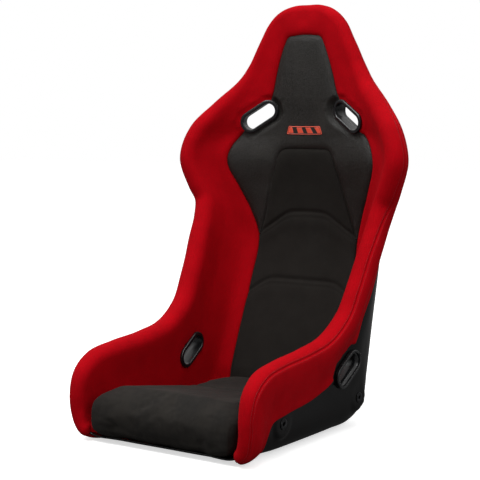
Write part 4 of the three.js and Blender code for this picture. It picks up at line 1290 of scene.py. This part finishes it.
def nap_group():
    """Brushed nap of suede cloth: streaks that lie different ways, darker where they are pushed back."""
    group, g, given, result = shader_group(
        "brushed nap",
        [
            ("Place", VECTOR, None),
            ("Colour", COLOUR, (0.2, 0.2, 0.2, 1)),
            ("Shade", COLOUR, (0.1, 0.1, 0.1, 1)),
        ],
        [("Colour", COLOUR), ("Height", NUMBER), ("Roughness", NUMBER)],
    )
    stretch = g.new("ShaderNodeMapping")
    stretch.inputs["Scale"].default_value = (1.0, 0.35, 1.0)
    g.link(given["Place"], stretch.inputs["Vector"])
    brushed = g.noise(stretch.outputs["Vector"], 16, 5, 0.62)
    fibre = g.noise(given["Place"], 900, 3, 0.6)
    tufts = g.noise(given["Place"], 85, 4, 0.6)
    share = g.math("ADD", g.math("MULTIPLY", brushed, 0.7), g.math("MULTIPLY", tufts, 0.3))
    g.link(g.mix(g.ramp(share, 0.36, 0.64), given["Shade"], given["Colour"]), result["Colour"])
    g.link(g.math("ADD", fibre, g.math("MULTIPLY", tufts, 0.8)), result["Height"])
    g.link(g.ramp(brushed, 0.3, 0.7, 0.8, 0.98), result["Roughness"])
    return group


def wear_group():
    """Rubbed edges and settled dust for hard parts."""
    group, g, given, result = shader_group(
        "edge wear and dust",
        [("Place", VECTOR, None), ("Wear", NUMBER, 0.5), ("Dust", NUMBER, 0.3)],
        [("Worn", NUMBER), ("Dusty", NUMBER), ("Smears", NUMBER)],
    )
    shape = g.new("ShaderNodeNewGeometry")
    edge = g.ramp(shape.outputs["Pointiness"], 0.52, 0.62)
    broken = g.ramp(g.noise(given["Place"], 130, 5, 0.7), 0.42, 0.62)
    worn = g.math("MULTIPLY", edge, broken)
    g.link(g.math("MULTIPLY", worn, given["Wear"], clamp=True), result["Worn"])
    facing_up = g.ramp(g.split(shape.outputs["Normal"])["Z"], 0.1, 0.95)
    specks = g.ramp(g.noise(given["Place"], 60, 6, 0.7), 0.35, 0.75)
    dusty = g.math("MULTIPLY", facing_up, specks)
    g.link(g.math("MULTIPLY", dusty, given["Dust"], clamp=True), result["Dusty"])
    g.link(g.noise(given["Place"], 9, 5, 0.65), result["Smears"])
    return group


KNIT = knit_group()
GRAIN = grain_group()
NAP = nap_group()
WEAR = wear_group()

# ------------------------------------------------------------------------------------ materials


class Finish:
    """A new material: its graph, and values and links onto the sockets of its own shader."""

    def __init__(self, name):
        self.material = bpy.data.materials.new(name)
        self.material.use_nodes = True
        self.graph = Graph(self.material.node_tree)
        self.sockets = self.graph.nodes["Principled BSDF"].inputs

    def set(self, **values):
        """Sets shader sockets; an underscore in a name stands for a space."""
        for label, value in values.items():
            self.graph.feed(self.sockets[label.replace("_", " ")], value)

    def bump(self, height, strength, distance):
        bump = self.graph.new("ShaderNodeBump")
        bump.inputs["Strength"].default_value = strength
        bump.inputs["Distance"].default_value = distance
        self.graph.link(height, bump.inputs["Height"])
        self.graph.link(bump.outputs["Normal"], self.sockets["Normal"])


def cloth_material(name, colour, shade, loops, mottle, sheen, sheen_tint, bump=0.5):
    """Knitted cloth on the piece's own map."""
    finish = Finish(name)
    own_map = finish.graph.new("ShaderNodeUVMap")
    own_map.uv_map = "cloth"
    values = {"Map": own_map.outputs["UV"], "Colour": colour, "Shade": shade}
    knit = finish.graph.group(KNIT, {**values, "Loops per metre": loops, "Mottle": mottle})
    finish.set(Base_Color=knit["Colour"], Roughness=knit["Roughness"], Specular_IOR_Level=0.06)
    finish.bump(knit["Height"], bump, 0.25 * MM)
    finish.set(Sheen_Weight=sheen, Sheen_Roughness=0.4, Sheen_Tint=sheen_tint)
    return finish.material


def leatherette_material():
    finish = Finish("leatherette")
    g = finish.graph
    grain = g.group(GRAIN, {"Place": g.place(), "Cells per metre": 520.0})
    # Painted shade: the grooves between pebbles, low in the mask, are drawn towards the darker colour.
    share = g.ramp(grain["Mask"], 0.0, 1.0, 0.35, 1.0)
    pebbles_with_groove_shade = g.mix(share, (0.006, 0.0057, 0.005, 1), (0.020, 0.0183, 0.0155, 1))
    rubbed = g.ramp(grain["Broad"], 0.45, 0.75, 0.0, 0.5)
    finish.set(Base_Color=g.mix(rubbed, pebbles_with_groove_shade, (0.028, 0.0255, 0.022, 1)))
    finish.set(Roughness=g.ramp(grain["Broad"], 0.3, 0.7, 0.34, 0.5), Specular_IOR_Level=0.32)
    finish.bump(grain["Height"], 0.85, 0.4 * MM)
    return finish.material


def suede_material():
    finish = Finish("suede_cloth")
    values = {"Colour": (0.019, 0.0168, 0.0145, 1), "Shade": (0.009, 0.008, 0.007, 1)}
    nap = finish.graph.group(NAP, {"Place": finish.graph.place(), **values})
    finish.set(Base_Color=nap["Colour"], Roughness=nap["Roughness"], Specular_IOR_Level=0.15)
    finish.bump(nap["Height"], 0.35, 0.3 * MM)
    finish.set(Sheen_Weight=0.07, Sheen_Roughness=0.5, Sheen_Tint=(0.5, 0.45, 0.42, 1))
    return finish.material


DUST = (0.22, 0.21, 0.2, 1)


def hard_material(name, colour, worn_colour, rough, wear, dust, coat=0.0, metal=0.0, ripple=0.0, shine=0.5):
    """Moulded or metal part with rubbed edges, settled dust and uneven polish."""
    finish = Finish(name)
    g = finish.graph
    place = g.place()
    marks = g.group(WEAR, {"Place": place, "Wear": wear, "Dust": dust})
    finish.set(Base_Color=g.mix(marks["Dusty"], g.mix(marks["Worn"], colour, worn_colour), DUST))
    polish = g.ramp(marks["Smears"], 0.3, 0.7, rough[0], rough[1])
    finish.set(Roughness=g.math("ADD", polish, g.math("MULTIPLY", marks["Dusty"], 0.5), clamp=True))
    scale, strength, distance = (12, ripple, 3.0 * MM) if ripple else (420, 0.06, 0.1 * MM)
    finish.bump(g.noise(place, scale, 3), strength, distance)
    finish.set(Metallic=metal, Specular_IOR_Level=shine, Coat_Weight=coat, Coat_Roughness=0.08)
    return finish.material


def badge_material():
    """Enamel on the raised border and bars of the badge, dark lacquer on the field between them."""
    finish = Finish("badge_enamel")
    g = finish.graph
    raised = g.new("ShaderNodeAttribute")
    raised.attribute_name = "raised"
    share = g.ramp(raised.outputs["Fac"], 0.35, 0.65)
    mottle = g.noise(g.place(), 300, 3)
    enamel = g.mix(mottle, (0.86, 0.11, 0.055, 1), (0.72, 0.075, 0.04, 1))
    finish.set(Base_Color=g.mix(share, (0.02, 0.018, 0.016, 1), enamel))
    finish.set(Roughness=g.ramp(mottle, 0.3, 0.7, 0.32, 0.46))
    finish.bump(mottle, 0.1, 0.1 * MM)
    return finish.material


def speckled_material(name, colour, shade, noise_scale, detail, rough, bump, distance):
    """Thread, board and pile: two shades, an uneven roughness and a fine bump from one noise."""
    finish = Finish(name)
    g = finish.graph
    speckle = g.noise(g.place(), noise_scale, *detail)
    finish.set(Base_Color=g.mix(g.ramp(speckle, 0.35, 0.65), shade, colour))
    finish.set(Roughness=g.ramp(speckle, 0.3, 0.7, rough[0], rough[1]))
    finish.bump(speckle, bump, distance)
    return finish.material


# In both knits the second colour serves the darker dye mottle and the painted shade in the gaps between
# loops.
RED_CLOTH = cloth_material(
    "red_knit", (0.44, 0.0004, 0.005, 1), (0.27, 0.0003, 0.003, 1), 420.0, 0.45, 0.04, (1.0, 0.1, 0.12, 1)
)
PANEL_CLOTH = cloth_material(
    "dark_knit", (0.020, 0.018, 0.016, 1), (0.010, 0.009, 0.008, 1), 520.0, 0.4, 0.06, (0.6, 0.55, 0.5, 1)
)
LEATHERETTE = leatherette_material()
SUEDE = suede_material()
GELCOAT = hard_material(
    "black_gelcoat",
    (0.0018, 0.0017, 0.0017, 1),
    (0.012, 0.012, 0.012, 1),
    (0.12, 0.24),
    wear=0.3,
    dust=0.006,
    ripple=0.25,
    shine=0.22,
)
BEZEL_PLASTIC = hard_material(
    "bezel_plastic",
    (0.006, 0.006, 0.007, 1),
    (0.05, 0.05, 0.05, 1),
    (0.18, 0.34),
    wear=0.6,
    dust=0.1,
    coat=0.2,
)
STEEL = hard_material(
    "plated_steel", (0.42, 0.42, 0.44, 1), (0.7, 0.7, 0.7, 1), (0.25, 0.45), wear=0.7, dust=0.1, metal=1.0
)
DARK_STEEL = hard_material(
    "blackened_steel",
    (0.01, 0.01, 0.011, 1),
    (0.2, 0.2, 0.21, 1),
    (0.3, 0.45),
    wear=0.5,
    dust=0.03,
    metal=0.6,
)
BADGE_PAINT = badge_material()
THREAD_RED = (0.36, 0.002, 0.008)
THREAD_SHADE = tuple(0.55 * c for c in THREAD_RED)
RED_THREAD = speckled_material(
    "red_thread", THREAD_RED + (1,), THREAD_SHADE + (1,), 1500, (2,), (0.5, 0.75), 0.3, 0.1 * MM
)
BOARD = speckled_material(
    "base_board", (0.035, 0.033, 0.03, 1), (0.018, 0.017, 0.015, 1), 90, (4, 0.65), (0.8, 0.97), 0.6, 0.2 * MM
)
LOOP_PILE = speckled_material(
    "hook_and_loop",
    (0.02, 0.02, 0.021, 1),
    (0.006, 0.006, 0.006, 1),
    1300,
    (4, 0.65),
    (0.8, 0.97),
    0.6,
    0.6 * MM,
)

# ------------------------------------------------------------------------------------ the seat put together


def build_covers():
    cover, right_half = build_wing_cover()
    nodes = [f"{hand}_{part}" for hand in ("left", "right") for part in ("bolster", "rim_band")]
    finish_piece(cover, "seat", "red_cloth", RED_CLOTH, *nodes, "head_bolster", "head_rim_band")
    build_double_seam(right_half, RED_THREAD)
    panel = build_back_panel()
    parts = ("upper", "middle", "lower")
    finish_piece(panel, "seat", "panel_cloth", PANEL_CLOTH, *[f"back_panel_{part}" for part in parts])
    insert = build_insert()
    finish_piece(insert, "seat", "leatherette", LEATHERETTE, "shoulder_insert")


def repaint_plain_nodes():
    """CAD nodes that are right as they are, mostly out of sight, get their own material."""
    plain = {"cushion_base": BOARD}
    for hand in ("left", "right"):
        plain[f"{hand}_hook_strip"] = LOOP_PILE
        plain[f"{hand}_loop_strip"] = LOOP_PILE
        plain[f"{hand}_front_mount_plate"] = STEEL
        plain[f"{hand}_rear_mount_plate"] = STEEL
    for name, material in plain.items():
        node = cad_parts[name]
        for place in node.material_slots:
            place.material = material


def build_seat():
    shell = build_shell()
    finish_piece(shell, "seat", "gelcoat", GELCOAT, "shell")
    build_covers()
    build_badge(BADGE_PAINT)
    build_bezels(BEZEL_PLASTIC)
    build_screws(DARK_STEEL)
    build_mount_inserts(DARK_STEEL)
    build_cushion(SUEDE)
    repaint_plain_nodes()


# ------------------------------------------------------------------------------------ floor, light, camera


FLOOR_HALF = 12.0
SEAT_MIDDLE = (0, 0, 0.45)


def build_floor():
    """Pale seamless floor: bright to the eye, with a soft shadow, but throwing little light back up."""
    corners = [(x * FLOOR_HALF, y * FLOOR_HALF, 0) for x, y in ((-1, -1), (1, -1), (1, 1), (-1, 1))]
    floor = make_object("floor", corners, [(0, 1, 2, 3)])
    finish = Finish("pale_floor")
    g = finish.graph
    pale = g.mix(g.noise(g.place(), 0.6, 2), (0.88, 0.88, 0.88, 1), (0.92, 0.92, 0.92, 1))
    finish.set(Base_Color=g.mix(g.camera_ray(), (0.16, 0.16, 0.16, 1), pale))
    finish.set(Emission_Strength=g.camera_ray(), Emission_Color=(0.62, 0.62, 0.62, 1))
    finish.set(Roughness=0.9, Specular_IOR_Level=0.0)
    floor.data.materials.append(finish.material)


def add_area_light(name, place, aim, size, power):
    light = bpy.data.lights.new(name, "AREA")
    light.shape = "RECTANGLE"
    light.size, light.size_y = size
    light.energy = power
    thing = bpy.data.objects.new(name, light)
    thing.location = place
    thing.rotation_euler = (Vector(aim) - Vector(place)).to_track_quat("-Z", "Y").to_euler()
    bpy.context.scene.collection.objects.link(thing)


def light_studio():
    world = bpy.data.worlds.new("studio")
    world.use_nodes = True
    g = Graph(world.node_tree)
    background = g.nodes["Background"]
    background.inputs["Color"].default_value = (1, 1, 1, 1)
    direction = g.split(g.new("ShaderNodeTexCoord").outputs["Generated"])
    sky = g.ramp(direction["Z"], -0.15, 0.8, 0.1, 0.75)
    g.link(g.math("MAXIMUM", sky, g.camera_ray()), background.inputs["Strength"])
    bpy.context.scene.world = world
    add_area_light("key", (-0.7, -1.9, 3.1), SEAT_MIDDLE, (1.6, 1.6), 62)
    add_area_light("side", (2.8, -0.6, 1.6), SEAT_MIDDLE, (1.0, 1.8), 16)
    add_area_light("top", (0.1, -0.3, 3.0), SEAT_MIDDLE, (2.0, 1.4), 30)
    bpy.context.scene.view_settings.view_transform = "Standard"


SENSOR_WIDTH = 36  # lens and sensor are in millimetres
FOCAL_LENGTH = 98.18
CAMERA_PLACE = (1.52682, -2.21081, 0.646)
CAMERA_PITCH = 84.6  # degrees from straight down
CAMERA_HEADING = 34.6  # degrees round the upright axis


def place_camera():
    lens = bpy.data.cameras.new("camera")
    lens.sensor_width = SENSOR_WIDTH
    lens.lens = FOCAL_LENGTH
    lens.clip_end = 60
    camera = bpy.data.objects.new("camera", lens)
    camera.location = CAMERA_PLACE
    camera.rotation_euler = (math.radians(CAMERA_PITCH), 0, math.radians(CAMERA_HEADING))
    bpy.context.scene.collection.objects.link(camera)
    bpy.context.scene.camera = camera


build_seat()
build_floor()
light_studio()
place_camera()
